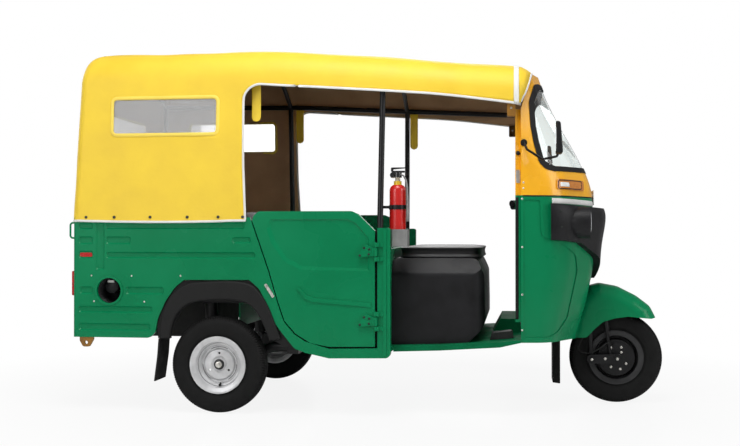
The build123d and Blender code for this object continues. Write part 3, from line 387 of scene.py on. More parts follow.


# Body panels: pressed sheet steel under glossy green enamel, with the slight orange peel of a sprayed coat.
# Bulkhead, bench box, doors and mudguard are sprayed in the same coat; the floor has a darker, duller green.
green_paint = finish("green_enamel", (0.0004, 0.180, 0.066), (0.0006, 0.205, 0.078), (0.24, 0.34),
                     3.0, 260.0, 0.0005, Coat_Weight=0.10, Coat_Roughness=0.08, Specular_IOR_Level=0.14)
dress(green_paint, "quarter_panel_right", "quarter_panel_left", "rear_panel", "door_pillars", "door_right",
      "door_left", "cowl", "front_mudguard", "bulkhead", "bench_base", "rear_handle")
floor_green = finish("floor_enamel", (0.0006, 0.110, 0.040), (0.0010, 0.150, 0.056), (0.55, 0.75),
                     9.0, 420.0, 0.0008, Specular_IOR_Level=0.10)
dress(floor_green, "floor_pan")


# Windshield frame: one pressed steel frame that wraps round the nose, sprayed a glossy amber.
# The tow bracket under the right rear corner has a darker, browner amber, which paints the shade under the
# body.
amber_paint = finish("amber_enamel", (0.820, 0.378, 0.0081), (0.900, 0.444, 0.0135), (0.22, 0.32),
                     3.0, 260.0, 0.0006, Coat_Weight=0.2, Coat_Roughness=0.08, Specular_IOR_Level=0.3)
dress(amber_paint, "windshield_frame")
# Darker amber: painted shade on the tow plate and the roof brackets.
shaded_amber_paint = finish("amber_painted_shade", (0.20, 0.085, 0.004), (0.30, 0.130, 0.006), (0.4, 0.55), 20.0, 500.0, 0.0006)
dress(shaded_amber_paint, "tow_plate")


# Black mouldings: grained ABS for headlamp mask, driver's seat box, dash shelf, mirror shells and front well.
# They come from the mould with a fine even grain and a low sheen, and are screwed or clipped in place.
black_plastic = finish("grained_black_plastic", (0.0060, 0.0060, 0.0067), (0.0120, 0.0120, 0.0135),
                       (0.34, 0.48), 9.0, 1300.0, 0.0009, Specular_IOR_Level=0.22)
dress(black_plastic, "headlamp_mask", "driver_seat_base", "dash_shelf", "mirror_heads", "front_well")


# Soft black rubber: the windshield's gasket, mud flaps and wheel-arch liners, dull and a little dusty.
# The gasket is an extruded section pressed over the glass; flaps and liners are sheet, bolted on.
rubber = finish("black_rubber", (0.005, 0.005, 0.005), (0.010, 0.010, 0.010), (0.50, 0.7),
                18.0, 800.0, 0.0007, Specular_IOR_Level=0.25)
dress(rubber, "windshield_gasket", "mud_flaps", "arch_liners")


# Clear sheets: the windshield is one curved pane of laminated glass, faintly green, held by its gasket.
# The canopy's windows are clear vinyl film, greyer and a little wavy, welded into the cover.
def clear_finish(name, tint, rough, waves, depth, clear):
    """Clear sheet that lets a share of the light through with a tint; a slow noise bends it by a depth."""
    material, shader, _ = mottled(name, waves, waves, 0.3, depth)
    set_sockets(shader, {"Base Color": (*tint, 1.0), "Roughness": rough, "IOR": 1.03, "Coat Weight": 0.5,
                         "Coat Roughness": rough, "Transmission Weight": clear})
    return material


window_glass = clear_finish("laminated_glass", (0.93, 0.97, 0.96), 0.02, 4.0, 0.0002, 1.0)
dress(window_glass, "windshield_glass")
clear_vinyl = clear_finish("clear_vinyl_film", (0.68, 0.68, 0.68), 0.06, 6.0, 0.004, 0.78)
dress(clear_vinyl, "canopy_windows")


# Grey and dark metal: luggage deck and tool box in flat grey paint over folded sheet.
# The engine and the brake pedal are bare dark castings.
grey_metal = finish("flat_grey_paint", (0.15, 0.15, 0.15), (0.24, 0.24, 0.235), (0.45, 0.65),
                    12.0, 500.0, 0.0008)
dress(grey_metal, "luggage_deck", "cab_box")
dark_casting = finish("dark_casting", (0.012, 0.012, 0.012), (0.030, 0.030, 0.029), (0.5, 0.7),
                      16.0, 420.0, 0.0010, Specular_IOR_Level=0.25)
dress(dark_casting, "engine", "foot_pedal")


# Lamps: moulded acrylic lenses, ribbed inside, amber on the nose, red behind and clear in front.
# Each is fixed to its panel from outside.
amber_lens = finish("amber_acrylic", (0.48, 0.150, 0.012), (0.62, 0.220, 0.020), (0.12, 0.2),
                    60.0, 300.0, 0.0012, Coat_Weight=0.3)
red_lens = finish("red_acrylic", (0.45, 0.006, 0.006), (0.55, 0.012, 0.010), (0.12, 0.2),
                  8.0, 300.0, 0.0012, Coat_Weight=0.4)
clear_lens = finish("clear_acrylic", (0.62, 0.64, 0.66), (0.80, 0.82, 0.84), (0.08, 0.15),
                    20.0, 120.0, 0.003, Metallic=0.6)
dress(amber_lens, "indicators")
dress(red_lens, "tail_lamps")
dress(clear_lens, "headlamp_lenses")


# Number plates: blank aluminium sheet with rounded corners, under white paint.
# One stands on two short stays before the nose; the other lies in a recess of the back panel.
plate_white = finish("plate_white", (0.66, 0.66, 0.64), (0.74, 0.74, 0.72), (0.3, 0.42), 10.0, 500.0, 0.0004)
dress(plate_white, "number_plates")


# Canopy: one sheet of vinyl-coated canvas stretched over the tube bows, yellow outside and brown inside.
# It is cut with a round-cornered doorway and a window on each side and a window behind.
# It sags between the bows, ripples and puckers above its hem, and its front lip bends down and turns in.
def vinyl_finish(name, dark, light, weave, depth):
    """Coated cloth: the mottle tints it, and two crossed waves on Object coordinates give the weave below."""
    material = finish(name, dark, light, (0.42, 0.58), 5.0, 70.0, 0.0014, Specular_IOR_Level=0.4)
    tree = material.node_tree
    coords = add_node(tree, "TexCoord")
    cross = add_node(tree, "Math", operation="ADD")
    under = add_node(tree, "Bump", {"Strength": 0.25, "Distance": depth})
    for socket, direction in enumerate("XZ"):
        wave = add_node(tree, "TexWave", {"Scale": weave, "Distortion": 0.4}, bands_direction=direction)
        join(tree, (coords, "Object", wave, "Vector"), (wave, "Fac", cross, socket))
    join(tree, (cross, 0, under, "Height"), (under, "Normal", tree.nodes["Bump"], "Normal"))
    return material


yellow_vinyl = vinyl_finish("yellow_vinyl", (0.80, 0.545, 0.030), (0.88, 0.620, 0.040), 130.0, 0.0005)
canvas_brown = vinyl_finish("brown_canvas", (0.440, 0.262, 0.135), (0.570, 0.345, 0.185), 160.0, 0.0008)

# Each row of the section: x, half width at hem and eave, eave height, shoulder half width and height, crown.
HEM_Y = 1
EAVE_Y = 2
EAVE_Z = 3
CROWN_Z = 6
COVER_ROWS = np.array([(-1.560, 0.6885, 0.6510, 1.730, 0.5045, 1.892, 1.949),
                       (-0.560, 0.6885, 0.6510, 1.730, 0.5045, 1.892, 1.949),
                       (-0.400, 0.6865, 0.6500, 1.728, 0.5040, 1.889, 1.945),
                       (0.100, 0.6750, 0.6390, 1.700, 0.4995, 1.844, 1.904),
                       (0.870, 0.6440, 0.5990, 1.640, 0.4695, 1.777, 1.834)])
HEM_Z = 0.996
EASE = np.linspace(-0.11, 0.11, 9)
SHOULDER_BULGE = 0.19
DOORWAY_TOP = np.array([(-0.622, 1.708), (-0.329, 1.687), (0.088, 1.659), (0.395, 1.637), (0.697, 1.597),
                        (1.000, 1.555)])
DOORWAY_REAR = np.array([(0.900, -0.598), (1.290, -0.618), (1.708, -0.622)])
DOORWAY_R = 0.090
CORNER_X = -0.532
CORNER_Z = float(np.interp(CORNER_X, *DOORWAY_TOP.T))
SIDE_WINDOW_Z = (1.448, 1.635)
REAR_WINDOW_Z = (1.390, 1.600)
FRONT_FOOT_X = 0.797
FRONT_FOOT_Z = 1.579
BACK_FOOT_X = -1.545


def cover_size(x, column):
    """One column of the cover's table at x, eased over a hand's breadth so that no row shows as a crease."""
    return np.mean([np.interp(x + d, COVER_ROWS[:, 0], COVER_ROWS[:, column]) for d in EASE], axis=0)


def cover_wall(x, z):
    """Half width of the cover's straight wall at x and z: it leans in evenly from the hem to the eave."""
    hem, eave, eave_z = (cover_size(x, k) for k in (HEM_Y, EAVE_Y, EAVE_Z))
    return hem + (eave - hem) * (z - HEM_Z) / (eave_z - HEM_Z)


def cover_arch(x, t):
    """Half width and height over the arch: t from 0 to 1 is the shoulder's arc, 1 to 2 the crown's."""
    eave, eave_z, sh_y, sh_z, crown = (cover_size(x, k) for k in range(EAVE_Y, CROWN_Z + 1))
    half = math.atan(2.0 * SHOULDER_BULGE) * 2.0
    phi = (2.0 * np.clip(t, 0.0, 1.0) - 1.0) * half
    along = 0.5 + np.sin(phi) / (2.0 * math.sin(half))
    out = (np.cos(phi) - math.cos(half)) / (2.0 * math.sin(half))
    y_s = eave + along * (sh_y - eave) + out * (sh_z - eave_z)
    z_s = eave_z + along * (sh_z - eave_z) + out * (eave - sh_y)
    drop = crown - sh_z
    radius = (sh_y ** 2 + drop ** 2) / (2.0 * drop)
    psi = np.arcsin(sh_y / radius) * np.clip(2.0 - t, 0.0, 1.0)
    y_c = radius * np.sin(psi)
    z_c = crown - radius * (1.0 - np.cos(psi))
    return np.where(t <= 1.0, y_s, y_c), np.where(t <= 1.0, z_s, z_c)


corner_turn = np.radians([15.136, 27.0, 39.0, 50.0, 60.0, 69.0, 77.0, 84.0, 90.0])
corner_z = CORNER_Z - DOORWAY_R + DOORWAY_R * np.sin(corner_turn)
WALL_Z = np.concatenate([HEM_Z + np.array([0.0, 0.008, 0.025, 0.05]), np.linspace(1.085, 1.390, 9),
                         [1.420, 1.448], np.linspace(1.486, 1.600, 4), [1.6115], corner_z])
EDGE_ROW = len(WALL_Z) - 1
CLEAR_ROWS = (0.35, 0.7)
ARCH_T = np.concatenate([np.linspace(0.0, 1.0, 11), np.linspace(1.0, 2.0, 17)[1:]])
ARCH_ROW = EDGE_ROW + 1 + len(CLEAR_ROWS)
ROWS = ARCH_ROW + len(ARCH_T)
TOP_ROW = ROWS - 1


def doorway_top(x):
    """Height of the doorway's upper edge at x, eased over a hand's breadth; level behind the corner."""
    eased = np.mean([np.interp(np.maximum(x, CORNER_X) + d, *DOORWAY_TOP.T) for d in EASE], axis=0)
    return eased + (CORNER_Z - np.mean(np.interp(CORNER_X + EASE, *DOORWAY_TOP.T)))


def cover_front(z):
    """Raked front end of the cover: x at a height, bowed forward between the doorway and the crown."""
    share = np.clip((z - FRONT_FOOT_Z) / 0.255, 0.0, 1.0)
    return FRONT_FOOT_X + 0.064 * share + 0.040 * share * (1.0 - share)


def cover_back(z):
    """Raked back of the cover: x at a height."""
    return BACK_FOOT_X + (z - HEM_Z) * 0.036 / 0.956


def cover_side(x):
    """Points of the cover's right half for an array of x with one row per row of the section, hem first."""
    y = np.zeros_like(x)
    z = np.zeros_like(x)
    z[:EDGE_ROW] = WALL_Z[:EDGE_ROW, None]
    z[EDGE_ROW] = doorway_top(x[EDGE_ROW])
    for row, share in enumerate(CLEAR_ROWS, EDGE_ROW + 1):
        low = doorway_top(x[row])
        z[row] = low + share * (cover_size(x[row], EAVE_Z) - low)
    y[:ARCH_ROW] = cover_wall(x[:ARCH_ROW], z[:ARCH_ROW])
    y[ARCH_ROW:], z[ARCH_ROW:] = cover_arch(x[ARCH_ROW:], ARCH_T[:, None])
    return np.stack([x, -y, z], axis=-1)


def stations(start, end, count):
    """Columns of x between two x for each row, without the first."""
    share = np.linspace(0.0, 1.0, count + 1)[1:]
    return start[:, None] + (end - start)[:, None] * share


front_z = cover_side(np.full((ROWS, 1), 0.82))[:, 0, 2]
level_z = cover_side(np.full((ROWS, 1), -1.4))[:, 0, 2]
front_x = cover_front(front_z)
join_x = np.full(ROWS, CORNER_X)
join_x[:EDGE_ROW] = np.interp(WALL_Z[:EDGE_ROW], *DOORWAY_REAR.T)
on_corner = WALL_Z > CORNER_Z - DOORWAY_R + 1e-6
join_x[:EDGE_ROW + 1][on_corner] = CORNER_X - DOORWAY_R * np.cos(corner_turn)
turn_r = 0.045 + 0.072 * np.clip(np.concatenate([np.zeros(ARCH_ROW), ARCH_T]), 0.0, 1.0)
back_x = cover_back(level_z) + turn_r
WINDOW_X = (-0.760, -1.326)
SIDE_COUNTS = (52, 8, 24, 8)
JOIN_COL, WINDOW_START, WINDOW_END = np.cumsum(SIDE_COUNTS)[:3].tolist()
ends = [front_x, join_x, np.full(ROWS, WINDOW_X[0]), np.full(ROWS, WINDOW_X[1]), back_x]
side_x = np.hstack([front_x[:, None]] + [stations(a, b, n) for a, b, n in zip(ends, ends[1:], SIDE_COUNTS)])
half_sheet = cover_side(side_x)

# Behind, each row of the section turns a rounded corner and runs in over the back to the middle.
SPINE_TOP_Z = 1.80
REAR_WINDOW_Y = 0.360
TURN_COLS = 8
PANEL_COLS = 10
PANE_COLS = 14
end_y = -half_sheet[:, -1, 1]
end_z = half_sheet[:, -1, 2]
above = np.arange(ROWS) - EDGE_ROW
spine_z = np.where(above <= 0, end_z, CORNER_Z + (SPINE_TOP_Z - CORNER_Z) * above / (TOP_ROW - EDGE_ROW))
reach = np.hypot(end_y, spine_z - end_z)
turn = np.linspace(0.0, 0.5 * np.pi, TURN_COLS + 1)[1:]
turn_in = turn_r[:, None] * (1.0 - np.cos(turn)) / reach[:, None]
turn_x = turn_r[:, None] * (1.0 - np.sin(turn))
pane_share = np.maximum(1.0 - REAR_WINDOW_Y / np.maximum(end_y, 0.62), (turn_r + 0.015) / reach)
back_share = np.hstack([turn_in, stations(turn_in[:, -1], pane_share, PANEL_COLS),
                        stations(pane_share, np.ones(ROWS), PANE_COLS)])
back_lift = np.hstack([turn_x, np.zeros((ROWS, PANEL_COLS + PANE_COLS))])
back_y = -end_y[:, None] * (1.0 - back_share)
back_z = end_z[:, None] + (spine_z - end_z)[:, None] * back_share
half_back = np.stack([cover_back(back_z) + back_lift, back_y, back_z], axis=-1)
half_sheet = np.concatenate([half_sheet, half_back], axis=1)
sheet = np.concatenate([half_sheet, half_sheet[:-1][::-1] * (1.0, -1.0, 1.0)], axis=0)
sheet_rows, sheet_cols = sheet.shape[:2]
BACK_START = side_x.shape[1] + TURN_COLS + PANEL_COLS - 1
BACK_END = sheet_cols - 1


def grid_normals(points):
    """Unit normals of a grid of points: its rows' run crossed with its columns' run."""
    across = np.cross(np.gradient(points, axis=0), np.gradient(points, axis=1))
    return across / np.maximum(np.linalg.norm(across, axis=-1, keepdims=True), 1e-12)


def share_between(stops, x):
    """Share of the way from the stop behind x to the stop ahead of it."""
    bay = np.clip(np.searchsorted(stops, x) - 1, 0, len(stops) - 2)
    return np.clip((x - stops[bay]) / (stops[bay + 1] - stops[bay]), 0.0, 1.0)


def ramp(x, start, end):
    """Share of the way that x has gone from start to end, held at 0 before and at 1 beyond."""
    return np.clip((x - start) / (end - start), 0.0, 1.0)


# The cloth's shape: sag on the roof, ripples over the back quarter, puckers between the studs, front lip.
BOW_X = np.array([-1.470, -0.650, 0.098, 0.758])
STUD_X = np.array([-1.461, -1.307, -1.111, -0.911, -0.746, -0.616])
sx, sy, sz = np.moveaxis(sheet, -1, 0)
sag = -0.005 * np.sin(np.pi * share_between(BOW_X, sx)) ** 2 * (1.0 - ramp(np.abs(sy), 0.42, 0.62))
behind = ramp(sx, -0.64, -0.74)
waves = 0.0013 * np.sin(19.0 * sx + 8.0 * sz + 1.5 * np.sin(6.0 * sz)) * np.sin(9.0 * sz + 3.0 * sx)
low_wall = ramp(sz, 1.44, 1.38) * ramp(sz, HEM_Z, HEM_Z + 0.10)
hollow = 0.0035 * low_wall * np.sin(np.pi * ramp(sx, -0.64, -1.48))
ripple = behind * (waves - hollow)
on_side = behind * (np.abs(sy) > 0.6)
pucker = 0.0022 * np.exp(-(sz - HEM_Z) / 0.05) * np.sin(np.pi * share_between(STUD_X, sx)) ** 2 * on_side
hem_drop = 0.007 * np.exp(-(sz - HEM_Z) / 0.06) * np.sin(np.pi * ramp(sx, -0.60, -1.50)) * on_side
front_lip = 0.036 * ramp(sx, 0.786, 0.858) ** 1.7 * (sz > 1.64)
sheet = sheet - (hem_drop + front_lip)[..., None] * np.array(UP)
turned_in = np.zeros(sheet_cols)
turned_in[:2] = (0.036, 0.004)
sheet[..., 1] -= np.sign(sy) * turned_in * ramp(np.abs(sy), 0.45, 0.55)
sheet_normals = grid_normals(sheet)
sheet = sheet + (sag + ripple + np.where(sz < 1.3, -0.0005 + pucker, 0.0))[..., None] * sheet_normals

pane_rows, back_rows = ([int(np.argmin(np.abs(WALL_Z - height))) for height in heights]
                        for heights in (SIDE_WINDOW_Z, REAR_WINDOW_Z))
keep = np.ones((sheet_rows - 1, sheet_cols - 1), bool)
keep[:EDGE_ROW, :JOIN_COL] = False
keep[slice(*pane_rows), WINDOW_START:WINDOW_END] = False
keep[slice(*back_rows), BACK_START:BACK_END] = False
keep = keep & keep[::-1]
index = np.arange(sheet_rows * sheet_cols).reshape(sheet_rows, sheet_cols)
index[TOP_ROW:, -1] = index[:ROWS, -1][::-1]
used, packed = np.unique(quads_of(index)[keep], return_inverse=True)
cover_mesh = new_mesh("canopy_cover", sheet.reshape(-1, 3)[used], packed)
cover = add_piece("canopy_cover", cover_mesh, "chassis", yellow_vinyl)
cover_mesh.materials.append(canvas_brown)
thick = cover.modifiers.new("cloth", "SOLIDIFY")
thick.thickness = 0.003
thick.offset = -1.0
thick.material_offset = 1
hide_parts("canopy_roof", "canopy_sides", "canopy_rear")


# White tape: a woven binding folded over the whole edge of the cover and sewn down: hem, doorways and front.
# It is one closed run and belongs to the cover's sheet.
white_tape = vinyl_finish("white_binding", (0.70, 0.70, 0.68), (0.80, 0.80, 0.78), 260.0, 0.0005)
TAPE_HALF_W = 0.0065
TAPE_HALF_T = 0.0030


def add_strip(name, slot, material, path, out, half_width, half_thick, sides=10, closed=False):
    """Oval strip on the chassis, swept along a path."""
    points = swept(path, out, half_width, half_thick, sides, closed)
    return add_surface(name, points, "chassis", slot, material, wrap_u=closed, wrap_v=True)


last = sheet_rows - 1
right_door = [(row, JOIN_COL) for row in range(EDGE_ROW)]
right_door += [(EDGE_ROW, col) for col in range(JOIN_COL, -1, -1)]
front_end = [(row, 0) for row in range(EDGE_ROW + 1, last - EDGE_ROW)]
left_door = [(last - row, col) for row, col in right_door[::-1]]
left_hem = [(last, col) for col in range(JOIN_COL + 1, sheet_cols)]
right_hem = [(0, col) for col in range(sheet_cols - 2, JOIN_COL, -1)]
edge_rows, edge_cols = np.array(right_door + front_end + left_door + left_hem + right_hem).T
edge_out = sheet_normals[edge_rows, edge_cols]
edge_path = sheet[edge_rows, edge_cols] - 0.0012 * edge_out
tape = add_strip("canopy_tape", "white_trim", white_tape, edge_path, edge_out, TAPE_HALF_W, TAPE_HALF_T,
                 closed=True)


# Press studs along the hem: black dome caps over the snaps that hold the cover to the body.
# They are pressed steel under enamel, set through the cloth a little above the tape.
stud_cap = finish("stud_enamel", (0.012, 0.012, 0.012), (0.022, 0.022, 0.022), (0.25, 0.4),
                  60.0, 900.0, 0.0003)
STUD = [(-0.002, 0.0), (-0.002, 0.0078), (0.0006, 0.0078), (0.0022, 0.0062), (0.0032, 0.0035), (0.0035, 0.0)]
STUD_Z = HEM_Z + 0.018
for side, way in SIDES:
    places = [(x, way * (float(cover_wall(np.array(x), STUD_Z)) + 0.0015), STUD_Z) for x in STUD_X]
    turned_set("hem_studs_" + side, places, STUD, (0.0, way, 0.0), 16, "chassis", stud_cap)


# Seats: foam blocks in black grained vinyl, sewn in box covers with a welt round the top and bottom edge.
# Each is a closed crowned form: the top rises to the middle, the sides pull in, and stitched flutes cross it.
seat_vinyl = finish("black_seat_vinyl", (0.004, 0.004, 0.0045), (0.008, 0.008, 0.009), (0.34, 0.48),
                    7.0, 420.0, 0.0012, Specular_IOR_Level=0.3)
SEAT_GAP = 0.002
SEAT_LIFT = 0.0005
CROWN_SHARE = 0.15
BENCH_FLUTES = np.linspace(-0.48, 0.48, 9)
BACKREST_LENGTH = 1.168
BACKREST_FOOT = (-0.667, -0.561)
BACKREST_HEAD = (-0.699, -0.623)


def squarish(count, power):
    """Squarish oval of half width 1: cosine and sine to a power, their signs kept."""
    angle = np.linspace(0.0, 2.0 * np.pi, count, endpoint=False)
    return (np.sign(wave) * np.abs(wave) ** power for wave in (np.cos(angle), np.sin(angle)))


def cushion_surface(length, depth, height, crown, flutes):
    """Closed box cushion about the middle of its base: a squarish oval in plan, carried up a profile.

    The profile runs over (share of plan, height): flat base, welt, side drawn in, welt, then the crowned top.
    Flutes are lines across the length where the top is drawn down by its stitches."""
    side = np.linspace(0.0, 1.0, 11)[1:-1]
    cover_share = np.linspace(0.95, 0.0, 26)
    share = np.concatenate([[0.0, 0.5, 0.90, 0.965, 0.995, 1.0], 1.0 - 0.028 * np.sin(np.pi * side),
                            [1.0, 0.995, 0.965], cover_share])
    rise = np.concatenate([[0.0, 0.0, 0.0, 0.0, 0.03, 0.08], 0.08 + 0.70 * side,
                           [0.79, 0.84, 0.855], np.full(len(cover_share), 0.85)])
    bow = np.concatenate([np.zeros(len(share) - len(cover_share)), 1.0 - cover_share ** 4])
    round_x, round_y = squarish(220, 0.22)
    x = 0.5 * depth * share[:, None] * round_x
    y = 0.5 * length * share[:, None] * round_y
    z = np.broadcast_to((height * rise + crown * bow)[:, None], x.shape)
    on_top = np.clip((rise - 0.80) / 0.05, 0.0, 1.0)[:, None]
    for flute in flutes:
        z = z - on_top * 0.006 * np.exp(-((y - flute) / 0.009) ** 2)
    return np.stack([x, y, z], axis=-1)


def seat_piece(name, node, points):
    """A seat form that stands for its plain block."""
    piece = add_surface(name, points, "chassis", "seat_vinyl", seat_vinyl, wrap_v=True, flip=True)
    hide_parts(node)


for name, node, flutes, fill in (("driver_cushion", "driver_seat_cushion", (-0.15, 0.15), 0.85),
                                 ("bench_seat", "bench_cushion", BENCH_FLUTES, 0.8)):
    low, high = (np.array(v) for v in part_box(node))
    span = high - low
    block = cushion_surface(span[1] - SEAT_GAP, span[0] - SEAT_GAP, span[2], CROWN_SHARE * span[2], flutes)
    seat_piece(name, node, block + ((low[0] + high[0]) / 2, 0.0, low[2] + SEAT_LIFT))

low, high = (np.array(v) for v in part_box("bench_backrest"))
tall = high[2] - low[2]
back_rest = cushion_surface(BACKREST_LENGTH, tall - SEAT_GAP, 1.0, CROWN_SHARE, BENCH_FLUTES)
up = (back_rest[..., 0] + 0.5 * tall) / tall
lean_rear, lean_front = (foot + (head - foot) * up for foot, head in zip(BACKREST_FOOT, BACKREST_HEAD))
leaning = np.stack([lean_rear + (lean_front - lean_rear) * back_rest[..., 2], -back_rest[..., 1],
                    low[2] + SEAT_LIFT + up * (tall - 2.0 * SEAT_LIFT)], axis=-1)
seat_piece("bench_back", "bench_backrest", leaning)


# Hanging straps: tongues of the canopy's yellow vinyl, folded double over the roof rail and sewn.
# Each hangs free from the rail with a slight curl, for a hand to hold.
STRAP_W = 0.048
STRAPS = (("strap_near", -0.566, -0.6035, 1.512, 1.7080, 0.005),
          ("strap_far_rear", -0.587, 0.6035, 1.500, 1.7090, -0.005),
          ("strap_far_front", 0.142, 0.594, 1.452, 1.6710, -0.004))


def strap_surface(x, y, z_low, z_top, curl):
    """Tongue of cloth across x, round at its end, from z_top down to z_low; it bows and curls on the way."""
    down = np.linspace(0.0, 1.0, 41)[:, None]
    across = np.linspace(-1.0, 1.0, 13)
    length = z_top - z_low
    left = np.clip((1.0 - down) * length / (0.5 * STRAP_W), 0.0, 1.0)
    half = 0.5 * STRAP_W * np.sqrt(1.0 - (1.0 - left) ** 2)
    px = x + across * np.maximum(half, 0.0015)
    py = y + curl * np.sin(np.pi * down) + 0.0012 * across ** 2 * down
    return np.stack(np.broadcast_arrays(px, py, z_top - length * down), axis=-1)


for name, x, y, z_low, z_top, curl in STRAPS:
    tongue = strap_surface(x, y, z_low, z_top, curl)
    strap = add_surface(name, tongue, "chassis", "yellow_vinyl", yellow_vinyl)
    fold = strap.modifiers.new("cloth", "SOLIDIFY")
    fold.thickness = 0.004
    fold.offset = 0.0
    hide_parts("straps")


# Mirror glasses: flat silvered panes with rounded corners.
# Each is let into the rear face of its black shell and held by the shell's rim.
mirror_face = finish("silvered_glass", (0.78, 0.80, 0.82), (0.86, 0.88, 0.90), (0.03, 0.07),
                     3.0, 200.0, 0.0001, Metallic=1.0)


def pane_surface(centre, across, up, half_w, half_h, depth, corner=0.35):
    """Shallow plate: a squarish oval about a centre, flat over its face, its rim turned back by a depth."""
    across, up = np.array(across, float), np.array(up, float)
    out = np.cross(across, up)
    share = np.concatenate([[1.0, 1.0, 0.985], np.linspace(0.96, 0.0, 6)])
    back = np.concatenate([[-depth, -0.25 * depth], np.zeros(7)])
    wide, high = squarish(64, corner)
    flat = wide[:, None] * half_w * across + high[:, None] * half_h * up
    return np.array(centre, float) + share[:, None, None] * flat + back[:, None, None] * out


def add_plate(name, slot, material, *shape):
    """Plate on the chassis with the shape of a pane."""
    add_surface(name, pane_surface(*shape), "chassis", slot, material, wrap_v=True, flip=True)


for side, way in SIDES:
    add_plate("mirror_glass_" + side, "mirror_face", mirror_face, (0.9668, way * 0.742, 1.396),
              (0.0, -1.0, 0.0), UP, 0.049, 0.068, 0.004)


# Fire extinguisher: a red steel bottle with a yellow neck ring, a pale brass neck and black valve levers.
# A grey discharge horn hangs from the valve; the bottle stands on a box and is clamped to the post.
def banded(material, start, end, stops):
    """Tints a finish by bands of height; stops are (share of the way from start to end, colour)."""
    tree = material.node_tree
    shader = tree.nodes["Principled BSDF"]
    under = shader.inputs["Base Color"].links[0].from_node
    coords = add_node(tree, "TexCoord")
    split = add_node(tree, "SeparateXYZ")
    share = add_node(tree, "MapRange", {"From Min": start, "From Max": end})
    bands = add_node(tree, "ValToRGB")
    bands.color_ramp.interpolation = "CONSTANT"
    bands.color_ramp.elements[0].color = (*stops[0][1], 1.0)
    bands.color_ramp.elements.remove(bands.color_ramp.elements[1])
    for place, colour in stops[1:]:
        bands.color_ramp.elements.new(place).color = (*colour, 1.0)
    tint = add_node(tree, "Mix", {"Factor": 1.0}, data_type="RGBA", blend_type="MULTIPLY")
    join(tree, (coords, "Object", split, "Vector"), (split, "Z", share, "Value"),
         (share, "Result", bands, "Fac"), (under, "Result", tint, "A"), (bands, "Color", tint, "B"),
         (tint, "Result", shader, "Base Color"))
    return material


bottle_enamel = finish("extinguisher_enamel", (0.82, 0.82, 0.82), (1.0, 1.0, 1.0), (0.18, 0.3),
                       6.0, 500.0, 0.0004, Coat_Weight=0.3)
BANDS = [(0.0, (0.58, 0.012, 0.010)), (0.708, (0.75, 0.50, 0.02)), (0.772, (0.62, 0.56, 0.44)),
         (0.828, (0.012, 0.012, 0.012))]
dress(banded(bottle_enamel, 0.95, 1.27, BANDS), "extinguisher")
HORN = np.array([(0.190, -0.604, 1.230), (0.208, -0.616, 1.224), (0.222, -0.624, 1.200),
                 (0.228, -0.626, 1.160), (0.230, -0.627, 1.100), (0.231, -0.628, 1.040),
                 (0.231, -0.628, 0.990)])
horn_r = np.interp(np.arange(7), [0, 3, 6], [0.0045, 0.0050, 0.0085])[:, None, None]
add_strip("discharge_horn", "grey_metal", grey_metal, HORN, (0.0, -1.0, 0.0), horn_r, horn_r, 16)


# Trim on the nose: a white strip over the headlamp mask, black piping in the joint above it, and pale rivets.
# All of it lies on the pressed sheet, so each run is found by casting from outside on to the solids.
RAY_START_Y = 0.9
NOSE_X = 0.85
NOSE_REACH = 0.85
STRIP_DEG = 79.0
STRIP_COUNT = 101
RIVET = [(-0.002, 0.0), (-0.002, 0.0052), (0.0004, 0.0052), (0.0016, 0.0038), (0.0022, 0.0)]


def landed(name, points, ways):
    """Where rays from points along ways meet a solid: places and outward normals, one row each."""
    tree = mathutils.bvhtree.BVHTree.FromObject(nodes[name], bpy.context.evaluated_depsgraph_get())
    ways = np.broadcast_to(np.asarray(ways, float), np.shape(points))
    hits = [tree.ray_cast(mathutils.Vector(p), mathutils.Vector(w)) for p, w in zip(points, ways)]
    normals = np.array([h[1] for h in hits])
    return np.array([h[0] for h in hits]), normals * -np.sign(np.sum(normals * ways, axis=1, keepdims=True))


def landed_aside(name, spots, way):
    """Where rays cast straight in from one side at (x, z) spots meet a solid."""
    x, z = np.array(spots, float).T
    return landed(name, np.stack([x, np.full(len(x), way * RAY_START_Y), z], axis=1), (0.0, -way, 0.0))


def round_nose(z, reach_deg, count):
    """Start points and ways of rays that look in at the nose from all round, at one height or one each."""
    angle = np.radians(np.linspace(-reach_deg, reach_deg, count))
    way = np.stack([-np.cos(angle), -np.sin(angle), np.zeros(count)], axis=1)
    middle = np.stack([np.full(count, NOSE_X), np.zeros(count), np.broadcast_to(z, count)], axis=1)
    return middle - NOSE_REACH * way, way


strip_z = 1.0975 - 0.013 * np.cos(np.radians(np.linspace(-STRIP_DEG, STRIP_DEG, STRIP_COUNT)))
strip_at, strip_out = landed("cowl", *round_nose(strip_z, STRIP_DEG, STRIP_COUNT))
add_strip("mask_strip", "white_trim", white_tape, strip_at, strip_out, 0.0140, 0.0022)
pipe_at, pipe_out = landed("cowl", *round_nose(1.1195, 94.0, 121))
add_strip("joint_piping", "rubber", rubber, pipe_at, pipe_out, 0.0032, 0.0026)
for side, way in SIDES:
    frame_at, _ = landed_aside("windshield_frame", [(0.8125, z) for z in (1.187, 1.158)], way)
    cowl_at, _ = landed_aside("cowl", [(0.8060, z) for z in (1.104, 0.86, 0.62, 0.44)], way)
    turned_set("nose_rivets_" + side, np.vstack([frame_at, cowl_at]), RIVET, (0.0, way, 0.0), 14,
               "chassis", zinc_steel)


# Indicator details: a dark moulded bezel round each amber lens and a clear acrylic panel in its rear half.
# Both are seated on the lens and follow its curve.
clear_panel = finish("clear_panel", (0.72, 0.74, 0.74), (0.86, 0.88, 0.88), (0.10, 0.18),
                     40.0, 160.0, 0.002, Coat_Weight=0.4)


